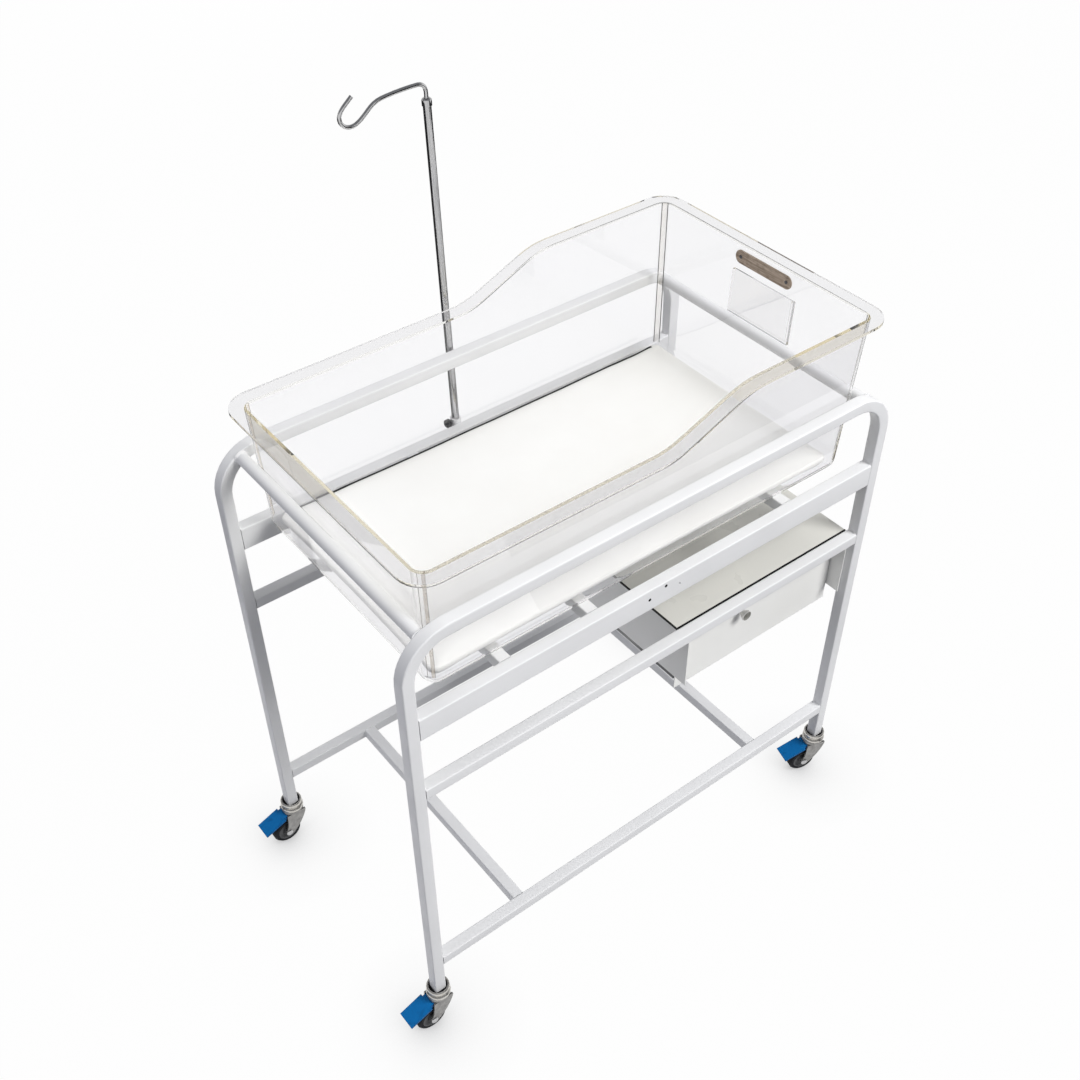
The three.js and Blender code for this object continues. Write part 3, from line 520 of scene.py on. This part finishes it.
# moulded plastics and rubber share one recipe: a fine grain, a rubbed edge and scuffs; on the blue the edges
# go darker, a painted shade along them
mouldings = dict(
    blackPlastic=dict(tone=(0.009, 0.009, 0.010), rubAndEdgeShadeTone=(0.035, 0.035, 0.037),
                      gloss=0.42, shine=0.12, edge=0.0008, grainScale=1400.0),
    tyreRubber=dict(tone=(0.009, 0.0095, 0.012), rubAndEdgeShadeTone=(0.03, 0.03, 0.032),
                    gloss=0.6, shine=0.14, edge=0.0008, grainScale=900.0),
    greyPlastic=dict(tone=(0.07, 0.071, 0.074), rubAndEdgeShadeTone=(0.15, 0.15, 0.153),
                     gloss=0.5, shine=0.35, edge=0.0008, grainScale=1100.0),
    # its edges go darker: painted shade along the edges
    bluePlastic=dict(tone=(0.004, 0.135, 0.385), rubAndEdgeShadeTone=(0.003, 0.035, 0.12),
                     gloss=0.42, shine=0.16, edge=0.0015, grainScale=1200.0),
)


def makeMoulding(name, s):
    finish, tree, shader, place = startFinish(name)
    scuffs = spread(tree, grain(tree, place, 85.0, 5.0), 0.55, 0.78, 0.0, 0.45)
    body = tones(tree, scuffs, s["tone"], s["rubAndEdgeShadeTone"])
    # rubbed edges, lighter on most mouldings; on the blue darker, as painted shade
    paint(tree, shader, tones(tree, edgeShare(tree, s["edge"]), body, s["rubAndEdgeShadeTone"]))
    polish(tree, shader, grain(tree, place, 60.0, 4.0), s["gloss"], 0.06, 0.12)
    relief(tree, shader, grain(tree, place, s["grainScale"], 2.0), 0.14, 0.0004)
    shader.inputs["Specular IOR Level"].default_value = s["shine"]
    return finish


mattressCover = dict(tone=(0.86, 0.86, 0.845), shadeTone=(0.83, 0.825, 0.805), threads=1250.0, gloss=0.55)


def makeMattressCover(s):
    finish, tree, shader, place = startFinish("mattressCover")
    cloud = spread(tree, grain(tree, place, 7.0, 4.0), 0.35, 0.7, 0.0, 1.0)
    paint(tree, shader, tones(tree, cloud, s["tone"], s["shadeTone"]))
    weave = []
    for direction in ("X", "Y"):
        wave = tree.nodes.new("ShaderNodeTexWave")
        wave.bands_direction = direction
        wave.inputs["Scale"].default_value = s["threads"] / 6.2832  # threads as the wave's own scale
        wave.inputs["Distortion"].default_value = 0.6
        wave.inputs["Detail"].default_value = 1.0
        tree.links.new(place, wave.inputs["Vector"])
        weave.append(wave.outputs["Fac"])
    relief(tree, shader, grain(tree, place, 26.0, 4.0), 0.10, 0.003)
    relief(tree, shader, product(tree, *weave), 0.18, 0.0003)
    polish(tree, shader, grain(tree, place, 18.0, 4.0), s["gloss"], 0.08, 0.10)
    shader.inputs["Sheen Weight"].default_value = 0.12
    shader.inputs["Sheen Roughness"].default_value = 0.4
    return finish


finishes = {
    "powder_coat": makePowderCoat(powderCoat),
    "painted_sheet": makePaintedSheet("paintedSheet", paintedSheet["drawer"]),
    "clear_acrylic": makeClearAcrylic("clearAcrylic", clearAcrylic["tub"]),
    "polished_steel": makePolishedSteel(polishedSteel),
    "grey_metal": makeCastMetal("castMetal", castMetal["fork"], castMetal["paintedGrooveShade"]),
    "dark_steel": makeDarkSteel(darkSteel),
    "bronze_plate": makeBronzePlate(bronzePlate),
    "mattress_cover": makeMattressCover(mattressCover),
}
for name, slotName in (("blackPlastic", "black_plastic"), ("tyreRubber", "tyre_rubber"),
                       ("greyPlastic", "grey_plastic"), ("bluePlastic", "blue_plastic")):
    finishes[slotName] = makeMoulding(name, mouldings[name])
print("finishes made,", len(finishes))

weldDistance = 0.00001
fineWeld = 0.000002  # small pieces keep thinner walls


# smooth shading that keeps real corners: the solids come as loose triangles
def makeSmoother():
    group = bpy.data.node_groups.new("smoothSkin", "GeometryNodeTree")
    group.interface.new_socket("Geometry", in_out="INPUT", socket_type="NodeSocketGeometry")
    angle = group.interface.new_socket("Angle", in_out="INPUT", socket_type="NodeSocketFloat")
    group.interface.new_socket("Geometry", in_out="OUTPUT", socket_type="NodeSocketGeometry")
    start = group.nodes.new("NodeGroupInput")
    end = group.nodes.new("NodeGroupOutput")
    weld = group.nodes.new("GeometryNodeMergeByDistance")
    weld.inputs["Distance"].default_value = weldDistance
    fold = group.nodes.new("GeometryNodeInputMeshEdgeAngle")
    sharp = group.nodes.new("FunctionNodeCompare")
    sharp.operation = "GREATER_THAN"
    skin = group.nodes.new("GeometryNodeSetMeshNormal")
    skin.mode = "SHARPNESS"
    links = group.links
    links.new(start.outputs["Geometry"], weld.inputs["Geometry"])
    links.new(weld.outputs["Geometry"], skin.inputs["Mesh"])
    links.new(fold.outputs["Unsigned Angle"], sharp.inputs[0])
    links.new(start.outputs["Angle"], sharp.inputs[1])
    skin.inputs["Remove Custom"].default_value = True
    links.new(sharp.outputs[0], skin.inputs["Edge Sharpness"])
    skin.inputs["Face Sharpness"].default_value = False
    links.new(skin.outputs["Mesh"], end.inputs["Geometry"])
    return group, angle.identifier


smoother, angleKey = makeSmoother()


def smoothSkin(obj, degrees=50.0):
    mod = obj.modifiers.new("smoothSkin", "NODES")
    mod.node_group = smoother
    mod[angleKey] = math.radians(degrees)
    flat = obj.modifiers.new("flatFaces", "WEIGHTED_NORMAL")  # wide faces stay flat beside rounded corners
    flat.keep_sharp = True


# sheet and plate edges are broken by a small radius
softEdges = dict(
    drawer_shelf=0.0006, drawer_panel_foot=0.0005, drawer_panel_head=0.0005, drawer_back_plate=0.0005,
    drawer_front=0.0006, drawer_tray=0.0004, drawer_runner_foot=0.0005, drawer_runner_head=0.0005,
)


def breakEdges(obj, width):
    weld = obj.modifiers.new("weld", "WELD")
    weld.merge_threshold = weldDistance
    flat = obj.modifiers.new("flatFaces", "DECIMATE")
    flat.decimate_type = "DISSOLVE"
    flat.angle_limit = math.radians(1.0)
    edge = obj.modifiers.new("brokenEdge", "BEVEL")
    edge.width = width
    edge.segments = 2
    edge.limit_method = "ANGLE"
    edge.angle_limit = math.radians(40)


slotOf = {part["node"]: part["material_slot"] for part in frame["record"]["subparts"]}
ownFinish = {
    "card_holder": makeClearAcrylic("cardAcrylic", clearAcrylic["card"]),
    "drawer_knob": makeTurnedKnob(turnedKnob),
    # the shelf gets the darker copy of the sheet: painted shade
    "drawer_shelf": makePaintedSheet("shadedShelfSheet", paintedSheet["shelf"]),
    "name_plate_rivet_front": finishes["dark_steel"],
    "name_plate_rivet_back": finishes["dark_steel"],
}
cupMetal = makeCastMetal("cupMetal", castMetal["cup"], castMetal["paintedGrooveShade"])
for name, solid in nodes.items():
    solid.data.materials.clear()
    if name.endswith("_caster_cup") or name.endswith("_caster_race"):
        solid.data.materials.append(cupMetal)
    else:
        solid.data.materials.append(ownFinish.get(name, finishes[slotOf[name]]))
    if name in softEdges:
        breakEdges(solid, softEdges[name])
    smoothSkin(solid)
print("solids dressed,", len(nodes))


# mattress: the pad is blown up a little by cloth pressure, held along its bottom
pad = dict(
    voxel=0.005, sideIn=0.0035, topIn=0.0025, pressure=4.0, frames=20, rise=0.002, heldBelow=0.004,
    tension=15, bend=2.0, crownFrom=0.004, flatBelow=0.0015, over=0.003,
    dents=((0.0006, 11.0), (0.0002, 41.0)),  # height, and how close they lie
)


def makePad(s):
    source = nodes["mattress"]
    low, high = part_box("mattress")
    middle = (low + high) / 2
    mesh = source.data.copy()
    mesh.name = "mattress_pad"
    obj = bpy.data.objects.new("mattress_pad", mesh)
    scene.collection.objects.link(obj)
    work = bmesh.new()
    work.from_mesh(mesh)
    bmesh.ops.remove_doubles(work, verts=work.verts, dist=weldDistance)
    half = (high - low) / 2
    for v in work.verts:  # start a little smaller, because the cover swells
        for axis in range(2):
            v.co[axis] -= s["sideIn"] * (v.co[axis] - middle[axis]) / half[axis]
        if v.co.z > middle.z:
            v.co.z -= s["topIn"]
    work.to_mesh(mesh)
    work.free()
    if "custom_normal" in mesh.attributes:
        mesh.attributes.remove(mesh.attributes["custom_normal"])
    bpy.ops.object.select_all(action="DESELECT")
    bpy.context.view_layer.objects.active = obj
    obj.select_set(True)
    mesh.remesh_voxel_size = s["voxel"]
    bpy.ops.object.voxel_remesh()
    mesh = obj.data
    before = [v.co.copy() for v in mesh.vertices]
    held = obj.vertex_groups.new(name="held")
    held.add([v.index for v in mesh.vertices if v.co.z < low.z + s["heldBelow"]], 1.0, "REPLACE")
    cloth = obj.modifiers.new("padCover", "CLOTH")
    cloth.settings.use_pressure = True
    cloth.settings.uniform_pressure_force = s["pressure"]
    cloth.settings.vertex_group_mass = "held"
    cloth.settings.tension_stiffness = s["tension"]
    cloth.settings.bending_stiffness = s["bend"]
    cloth.settings.effector_weights.gravity = 0.0
    cloth.collision_settings.use_collision = False
    cloth.point_cache.frame_start = 1
    cloth.point_cache.frame_end = s["frames"]
    for step in range(1, s["frames"] + 1):
        scene.frame_set(step)
    shape = obj.evaluated_get(bpy.context.evaluated_depsgraph_get()).to_mesh()
    after = [v.co.copy() for v in shape.vertices]
    obj.evaluated_get(bpy.context.evaluated_depsgraph_get()).to_mesh_clear()
    obj.modifiers.remove(cloth)
    scene.frame_set(1)
    for v, old, new in zip(mesh.vertices, before, after):
        move = new - old
        if move.length > s["rise"]:
            move *= s["rise"] / move.length
        v.co = old + move
    # soft dents on top, and a bottom that lies flat
    halfway = (low.z + max(v.co.z for v in mesh.vertices)) / 2
    for v in mesh.vertices:
        if v.co.z > halfway + s["crownFrom"]:
            v.co.z += sum(height * noise.noise(v.co * close) for height, close in s["dents"])
        if v.co.z < low.z + s["flatBelow"]:
            v.co.z = low.z
        v.co.z = min(v.co.z, high.z + s["over"])
    mesh.polygons.foreach_set("use_smooth", [True] * len(mesh.polygons))
    mesh.materials.clear()
    mesh.materials.append(finishes["mattress_cover"])
    sub = obj.modifiers.new("finer", "SUBSURF")
    sub.levels = sub.render_levels = 1
    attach(obj, "mattress")
    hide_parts("mattress")
    return obj


mattressPad = makePad(pad)
print("mattress made,", len(mattressPad.data.vertices), "points")

# painted shadow: a dark zip in the cover, along the top of its long back side, stands in for the shade in the
# gap between mattress and tub there
backShadeLine = dict(
    ends=0.017, pitch=0.00125, start=52.0, end=72.0, inset=0.012, drop=0.003, lift=0.00045, thick=0.0005,
    tooth=0.00018, across=5,
)


def makeBackShadeLine(s):
    skin = mattressPad.evaluated_get(bpy.context.evaluated_depsgraph_get())
    cover = BVHTree.FromObject(mattressPad, bpy.context.evaluated_depsgraph_get())
    corners = [v.co for v in skin.data.vertices]
    low = Vector([min(c[i] for c in corners) for i in range(3)])
    high = Vector([max(c[i] for c in corners) for i in range(3)])
    count = int((high.x - low.x - 2 * s["ends"]) / s["pitch"])
    across, ring = s["across"], 2 * s["across"]
    verts, faces = [], []
    for i in range(count + 1):
        x = low.x + s["ends"] + i * s["pitch"]
        middle = Vector((x, high.y - s["inset"], high.z - s["inset"] - s["drop"]))
        bump = s["tooth"] if i % 2 else 0.0
        outer, inner = [], []
        for k in range(across):
            turn = math.radians(s["start"] + (s["end"] - s["start"]) * k / (across - 1))
            way = Vector((0, math.cos(turn), math.sin(turn)))
            spot = cover.ray_cast(middle, way)[0]
            under = (spot - middle).length + s["lift"]
            over = under + s["thick"] + (bump if 0 < k < across - 1 else 0.0)
            outer.append(middle + way * over)
            inner.append(middle + way * under)
        verts += outer + inner[::-1]
    for i in range(count):
        for k in range(ring):
            a, b = i * ring + k, i * ring + (k + 1) % ring
            faces.append([a, b, b + ring, a + ring])
    faces.append(list(range(ring)))
    faces.append([count * ring + k for k in reversed(range(ring))])
    return verts, faces


# meshes of the small pieces, all in metres
def addPiece(name, verts, faces, slotName, body, sharp=40.0, finish=None):
    mesh = bpy.data.meshes.new(name)
    mesh.from_pydata(verts, [], faces)
    work = bmesh.new()
    work.from_mesh(mesh)
    bmesh.ops.remove_doubles(work, verts=work.verts, dist=fineWeld)
    bmesh.ops.recalc_face_normals(work, faces=work.faces)
    work.to_mesh(mesh)
    work.free()
    mesh.materials.append(finish or finishes[slotName])
    mesh.shade_smooth()
    mesh.set_sharp_from_angle(angle=math.radians(sharp))
    obj = bpy.data.objects.new(name, mesh)
    scene.collection.objects.link(obj)
    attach(obj, body)
    return obj


def lathe(profile, steps, place):
    # closed profile of (radius, height); place puts a point of the turned piece where it belongs
    verts, faces = [], []
    rows = []
    for radius, height in profile:
        if radius < 1e-6:
            rows.append([len(verts)] * steps)
            verts.append(place(Vector((0, 0, height))))
            continue
        rows.append(list(range(len(verts), len(verts) + steps)))
        for i in range(steps):
            turn = 2 * math.pi * i / steps
            verts.append(place(Vector((radius * math.cos(turn), radius * math.sin(turn), height))))
    for row, after in zip(rows, rows[1:] + rows[:1]):
        for i in range(steps):
            j = (i + 1) % steps
            face = [row[i], row[j], after[j], after[i]]
            face = [v for k, v in enumerate(face) if v not in face[:k]]
            if len(face) > 2:
                faces.append(face)
    return verts, faces


def joined(parts):
    verts, faces = [], []
    for v, f in parts:
        start = len(verts)
        verts += v
        faces += [[start + i for i in face] for face in f]
    return verts, faces


addPiece("mattress_back_shade_line", *makeBackShadeLine(backShadeLine), "black_plastic", "mattress")
print("zip made")

casterYaw = dict(front_foot=0.0, front_head=-16.0, back_foot=0.0, back_head=0.0)  # degrees, at rest

# black plastic plug between each leg and its cup: a round disc with a square hole; its black also gives the
# ring of shade between leg and cup rim
plugAndCupShade = dict(outer=0.0156, hole=0.01025, holeRound=0.0024, low=0.0900, high=0.0926, dish=0.0008, steps=48)


def makePlugAndCupShade(caster, s):
    low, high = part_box(f"{caster}_caster_cup")
    middle = (low + high) / 2
    steps = s["steps"]
    rows = []
    for part in range(4):  # outer low, outer high, inner high, inner low
        row = []
        for i in range(steps):
            turn = 2 * math.pi * (i + 0.5) / steps
            way = Vector((math.cos(turn), math.sin(turn), 0))
            if part in (0, 1):
                spot = way * s["outer"]
            else:
                flat = s["hole"] - s["holeRound"]
                side = way * (s["hole"] / max(abs(way.x), abs(way.y)))
                corner = Vector((math.copysign(flat, way.x), math.copysign(flat, way.y), 0))
                off = side - corner
                if abs(side.x) > flat and abs(side.y) > flat:
                    side = corner + off.normalized() * s["holeRound"]
                spot = side
            z = s["high"] - (s["dish"] if part == 2 else 0) if part in (1, 2) else s["low"]
            row.append(Vector((middle.x + spot.x, middle.y + spot.y, z)))
        rows.append(row)
    verts = [v for row in rows for v in row]
    faces = []
    for r in range(4):
        for i in range(steps):
            j = (i + 1) % steps
            a, b = r * steps, ((r + 1) % 4) * steps
            faces.append([a + i, a + j, b + j, b + i])
    return addPiece(f"{caster}_leg_plug_and_cup_shade", verts, faces, "black_plastic", "frame")


# domed heads on both ends of each axle
axleHead = dict(radius=0.0062, stub=0.00415, rise=0.0026, cheek=0.0156, gap=0.00005)


def makeAxleHeads(caster, s):
    low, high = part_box(f"{caster}_hub")
    middle = (low + high) / 2
    yaw = math.radians(casterYaw[caster])
    r, h = s["radius"], s["rise"]
    profile = [(s["stub"], 0.0), (r, 0.0), (r, h * 0.22), (r * 0.93, h * 0.48), (r * 0.76, h * 0.74),
               (r * 0.45, h * 0.93), (0.0, h), (0.0, h * 0.66), (s["stub"], h * 0.66)]
    parts = []
    for side in (-1, 1):
        axis = Vector((-math.sin(yaw), math.cos(yaw), 0)) * side
        across = Vector((0, 0, 1)).cross(axis)
        start = middle + axis * (s["cheek"] + s["gap"])

        def place(p, start=start, axis=axis, across=across):
            return start + across * p.x + Vector((0, 0, 1)) * p.y + axis * p.z
        parts.append(lathe(profile, 24, place))
    return addPiece(f"{caster}_axle_heads", *joined(parts), "polished_steel", f"{caster}_swivel")


for caster in casterYaw:
    makePlugAndCupShade(caster, plugAndCupShade)
    makeAxleHeads(caster, axleHead)
print("caster plugs and axle heads made")

# weld beads where bars meet rails and rails meet legs
bead = dict(
    leg=0.0026, sink=0.0004, step=0.0011, ripple=0.12, inset=0.0018, off=0.0003, taper=0.35, crown=0.62,
)


def beadAlong(points, firstWays, secondWays, s, closed=False):
    verts, faces = [], []
    for i, (p, a, b) in enumerate(zip(points, firstWays, secondWays)):
        wander = math.sin(i * 2.1) + 0.5 * math.sin(i * 0.83 + p.x * 90)
        leg = s["leg"] * (1 + s["ripple"] * wander)
        if not closed and i in (0, len(points) - 1):
            leg *= s["taper"]
        out = (a + b).normalized()
        sink = s["sink"]
        verts += [p - out * sink, p + a * leg - b * sink, p + out * leg * s["crown"], p + b * leg - a * sink]
    count = len(points)
    for i in range(count if closed else count - 1):
        j = (i + 1) % count
        for k in range(4):
            m = (k + 1) % 4
            faces.append([4 * i + k, 4 * i + m, 4 * j + m, 4 * j + k])
    if not closed:
        faces += [[3, 2, 1, 0], [4 * count - 4, 4 * count - 3, 4 * count - 2, 4 * count - 1]]
    return verts, faces


def straightBead(first, last, a, b, s):
    steps = max(6, int((last - first).length / s["step"]))
    points = [first.lerp(last, i / steps) for i in range(steps + 1)]
    return beadAlong(points, [a] * len(points), [b] * len(points), s)


def makeWelds(s):
    parts = []
    off = s["off"]
    up, x, y = Vector((0, 0, 1)), Vector((1, 0, 0)), Vector((0, 1, 0))
    for side in ("front", "back"):
        for row in ("upper_rail", "lower_rail", "foot_rail"):
            low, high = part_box(f"{side}_{row}")
            for end, way in ((low.x - off, x), (high.x + off, -x)):
                for z, rise in ((high.z, up), (low.z, -up)):
                    parts.append(straightBead(Vector((end, low.y + s["inset"], z)),
                                              Vector((end, high.y - s["inset"], z)), rise, way, s))
    bars = ["foot_floor_bar", "head_floor_bar", "tub_support_bar_1", "tub_support_bar_2", "tub_support_bar_3"]
    for name in bars:
        low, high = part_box(name)
        for end, way in ((low.y - off, y), (high.y + off, -y)):
            for edge, out in ((low.x, -x), (high.x, x)):
                parts.append(straightBead(Vector((edge, end, low.z + s["inset"])),
                                          Vector((edge, end, high.z - s["inset"])), out, way, s))
            if name.startswith("tub_support"):
                parts.append(straightBead(Vector((low.x + s["inset"], end, low.z)),
                                          Vector((high.x - s["inset"], end, low.z)), -up, way, s))
    for name in ("foot_end_tube", "head_end_tube"):
        low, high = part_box(name)
        middle = (low + high) / 2
        radius = (high.z - low.z) / 2
        for end, way in ((low.y - off, y), (high.y + off, -y)):
            steps = int(2 * math.pi * radius / s["step"])
            outs = [Vector((math.cos(2 * math.pi * i / steps), 0, math.sin(2 * math.pi * i / steps)))
                    for i in range(steps)]
            points = [Vector((middle.x, end, middle.z)) + out * radius for out in outs]
            parts.append(beadAlong(points, outs, [way] * steps, s, closed=True))
    return addPiece("weld_beads", *joined(parts), "powder_coat", "frame", sharp=60.0)


welds = makeWelds(bead)
print("welds made,", len(welds.data.vertices), "points")

# painted shadow: black strips, a T seal between shelf and front rail and a channel on the shelf's free end,
# stand in for the shadow in the gaps there
shelfShadeStrip = dict(
    stem=0.0014, deep=0.003, cap=0.0027, rise=0.0005, wall=0.0007, grip=0.0013, lift=0.00005, gap=0.0001,
    nearOff=0.0002, farOff=0.0005,
)


def extrudeAlong(profile, first, last, toPoint):
    count = len(profile)
    verts = [toPoint(p, first) for p in profile] + [toPoint(p, last) for p in profile]
    faces = [[i, (i + 1) % count, count + (i + 1) % count, count + i] for i in range(count)]
    faces += [list(range(count)), list(range(2 * count - 1, count - 1, -1))]
    return verts, faces


def makeShelfShadeStrip(s):
    low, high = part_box("drawer_shelf")
    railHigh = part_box("front_lower_rail")[1]
    middle = (low.y + railHigh.y) / 2
    top = max(high.z, railHigh.z) + s["lift"]
    stem, cap, rise = s["stem"] / 2, s["cap"] / 2, s["rise"]
    right = [(stem, -s["deep"]), (stem, 0), (cap, 0), (cap, rise * 0.35), (cap * 0.7, rise * 0.8),
             (cap * 0.3, rise)]
    left = [(-across, height) for across, height in right]
    tee = [left[0], *right, *reversed(left[1:])]
    parts = [extrudeAlong(tee, low.x - s["wall"], high.x,
                          lambda p, x: Vector((x, middle + p[0], top + p[1])))]
    out, grip, gap = s["wall"], s["grip"], s["gap"]
    channel = [(-out, low.z - out), (grip, low.z - out), (grip, low.z - gap), (-gap, low.z - gap),
               (-gap, high.z + gap), (grip, high.z + gap), (grip, high.z + out), (-out, high.z + out)]
    parts.append(extrudeAlong(channel, middle + cap + s["nearOff"], high.y - s["farOff"],
                              lambda p, y: Vector((low.x + p[0], y, p[1]))))
    return addPiece("shelf_shade_strip", *joined(parts), "black_plastic", "frame", sharp=50.0)


makeShelfShadeStrip(shelfShadeStrip)
print("seal made")

# raised rim round the bare name plate
plateRim = dict(long=0.059, high=0.011, wide=0.0014, rise=0.0007, foot=0.00002, outset=0.0002,
                outerSlope=0.0002, innerSlope=0.0003, steps=14)


def makePlateRim(s):
    solid = nodes["name_plate"].data
    facing = [p for p in solid.polygons if p.normal.x < -0.9]
    normal = Vector((0, 0, 0))
    middle = Vector((0, 0, 0))
    for p in facing:
        normal += p.normal * p.area
        middle += p.center * p.area
    middle /= sum(p.area for p in facing)
    normal.normalize()
    along = Vector((0, 1, 0))
    rise = normal.cross(along).normalized()
    straight = s["long"] - s["high"]
    rows = []
    outer, inner = s["outset"], s["wide"]
    section = ((outer, s["foot"]), (outer + s["outerSlope"], s["rise"]),
               (inner, s["rise"]), (inner + s["innerSlope"], s["foot"]))
    for inset, height in section:
        row = []
        for end in (1, -1):
            for i in range(s["steps"] + 1):
                turn = -math.pi / 2 + math.pi * i / s["steps"]
                r = s["high"] - inset
                spot = along * end * (straight + r * math.cos(turn)) + rise * end * r * math.sin(turn)
                row.append(middle + spot + normal * height)
        rows.append(row)
    count = len(rows[0])
    verts = [v for row in rows for v in row]
    faces = []
    for r in range(4):
        for i in range(count):
            j = (i + 1) % count
            a, b = r * count, ((r + 1) % 4) * count
            faces.append([a + i, a + j, b + j, b + i])
    return addPiece("name_plate_rim", verts, faces, "bronze_plate", "tub")


makePlateRim(plateRim)
print("plate rim made")

# painted shade: dark plugs, pressed into two of the drilled holes of the front rail, stand in for the shade
# inside the holes
railHoleShade = dict(
    spots=((-0.033, 0.018), (-0.003, 0.008)),  # along from the rail's middle, down from its top
    stem=0.00185, head=0.0026, rise=0.0006, deep=0.0012, gap=0.00004,
)


def makeRailHoleShades(s):
    low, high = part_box("front_upper_rail")
    middle = (low.x + high.x) / 2
    r, h, rise, gap = s["stem"], s["head"], s["rise"], s["gap"]
    profile = [(0.0, -rise), (h * 0.6, -rise), (h * 0.92, -rise * 0.6), (h, -gap), (r, -gap),
               (r, s["deep"]), (0.0, s["deep"])]
    parts = []
    for x, drop in s["spots"]:
        start = Vector((middle + x, low.y, high.z - drop))

        def place(p, start=start):
            return start + Vector((p.x, p.z, p.y))
        parts.append(lathe(profile, 16, place))
    return addPiece("rail_hole_shades", *joined(parts), "black_plastic", "frame")


makeRailHoleShades(railHoleShade)
print("rail plugs made")

# cement seams up the inside of the tub's corners: two grey lines with a tan film between them
seam = dict(
    corner=0.017, outset=0.0219, endDraft=0.010, sideDraft=0.011, depth=0.271, lowRim=0.216,
    spread=16.0, headWide=0.0014, footWide=0.0007, off=0.00016, thick=0.00045, film=0.0002, foot=0.0187,
    rimDrop=0.0012, filmGap=0.1, footFilm=46, steps=10, across=6,
)
seamFinish = dict(
    headLine=dict(tone=(0.13, 0.13, 0.132), paleTone=(0.22, 0.22, 0.215), gloss=0.35, cover=0.9),
    footLine=dict(tone=(0.20, 0.185, 0.16), paleTone=(0.32, 0.29, 0.24), gloss=0.35, cover=0.55),
    headFilm=dict(tone=(0.74, 0.64, 0.50), paleTone=(0.84, 0.78, 0.68), gloss=0.25, cover=0.12),
    footFilm=dict(tone=(0.72, 0.60, 0.44), paleTone=(0.82, 0.74, 0.62), gloss=0.25, cover=0.36),
)


def makeCement(name, s):
    finish, tree, shader, place = startFinish(name)
    mottle = spread(tree, grain(tree, place, 40.0, 4.0), 0.35, 0.65, 0.0, 1.0)
    paint(tree, shader, tones(tree, mottle, s["tone"], s["paleTone"]))
    polish(tree, shader, grain(tree, place, 90.0, 3.0), s["gloss"], 0.05, 0.1)
    shader.inputs["Alpha"].default_value = s["cover"]
    relief(tree, shader, grain(tree, place, 300.0, 2.0), 0.1, 0.0002)
    return finish


def seamStrip(sideX, sideY, first, last, thick, s):
    # one upright strip on the corner's inner curve, between two angles from the corner's X side
    low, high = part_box("tub")
    middle = (low + high) / 2
    rim = high.z if sideX > 0 else low.z + s["lowRim"]
    verts, faces = [], []
    across = s["across"]
    for i in range(s["steps"] + 1):
        z = low.z + s["foot"] + (rim - s["rimDrop"] - low.z - s["foot"]) * i / s["steps"]
        share = (high.z - z) / s["depth"]
        cx = (high.x - low.x) / 2 - s["outset"] - s["endDraft"] * share - s["corner"]
        cy = (high.y - low.y) / 2 - s["outset"] - s["sideDraft"] * share - s["corner"]
        for radius in (s["corner"] - s["off"], s["corner"] - s["off"] - thick):
            for k in range(across + 1):
                turn = math.radians(first + (last - first) * k / across)
                verts.append(Vector((middle.x + sideX * (cx + radius * math.cos(turn)),
                                     middle.y + sideY * (cy + radius * math.sin(turn)), z)))
    row = 2 * (across + 1)
    ring = list(range(across + 1)) + list(range(row - 1, across, -1))
    for i in range(s["steps"]):
        for a, b in zip(ring, ring[1:] + ring[:1]):
            faces.append([i * row + a, i * row + b, (i + 1) * row + b, (i + 1) * row + a])
    faces.append(ring)
    faces.append([s["steps"] * row + a for a in reversed(ring)])
    return verts, faces


def makeSeams(s):
    for end, sideX in (("foot", -1), ("head", 1)):
        lines, films = [], []
        half = math.degrees(s[end + "Wide"] / s["corner"] / 2)
        gap = half + s["filmGap"]
        start = 45 - s["spread"] + gap if end == "head" else s["footFilm"]  # the foot's film is half as wide
        for sideY in (-1, 1):
            for turn in (45 - s["spread"], 45 + s["spread"]):
                lines.append(seamStrip(sideX, sideY, turn - half, turn + half, s["thick"], s))
            films.append(seamStrip(sideX, sideY, start, 45 + s["spread"] - gap, s["film"], s))
        for kind, strips in (("Line", lines), ("Film", films)):
            cement = makeCement(f"{end}Seam{kind}", seamFinish[end + kind])
            name = f"tub_seam_{kind.lower()}s_{end}"
            addPiece(name, *joined(strips), "clear_acrylic", "tub", finish=cement)


makeSeams(seam)
print("corner seams made")
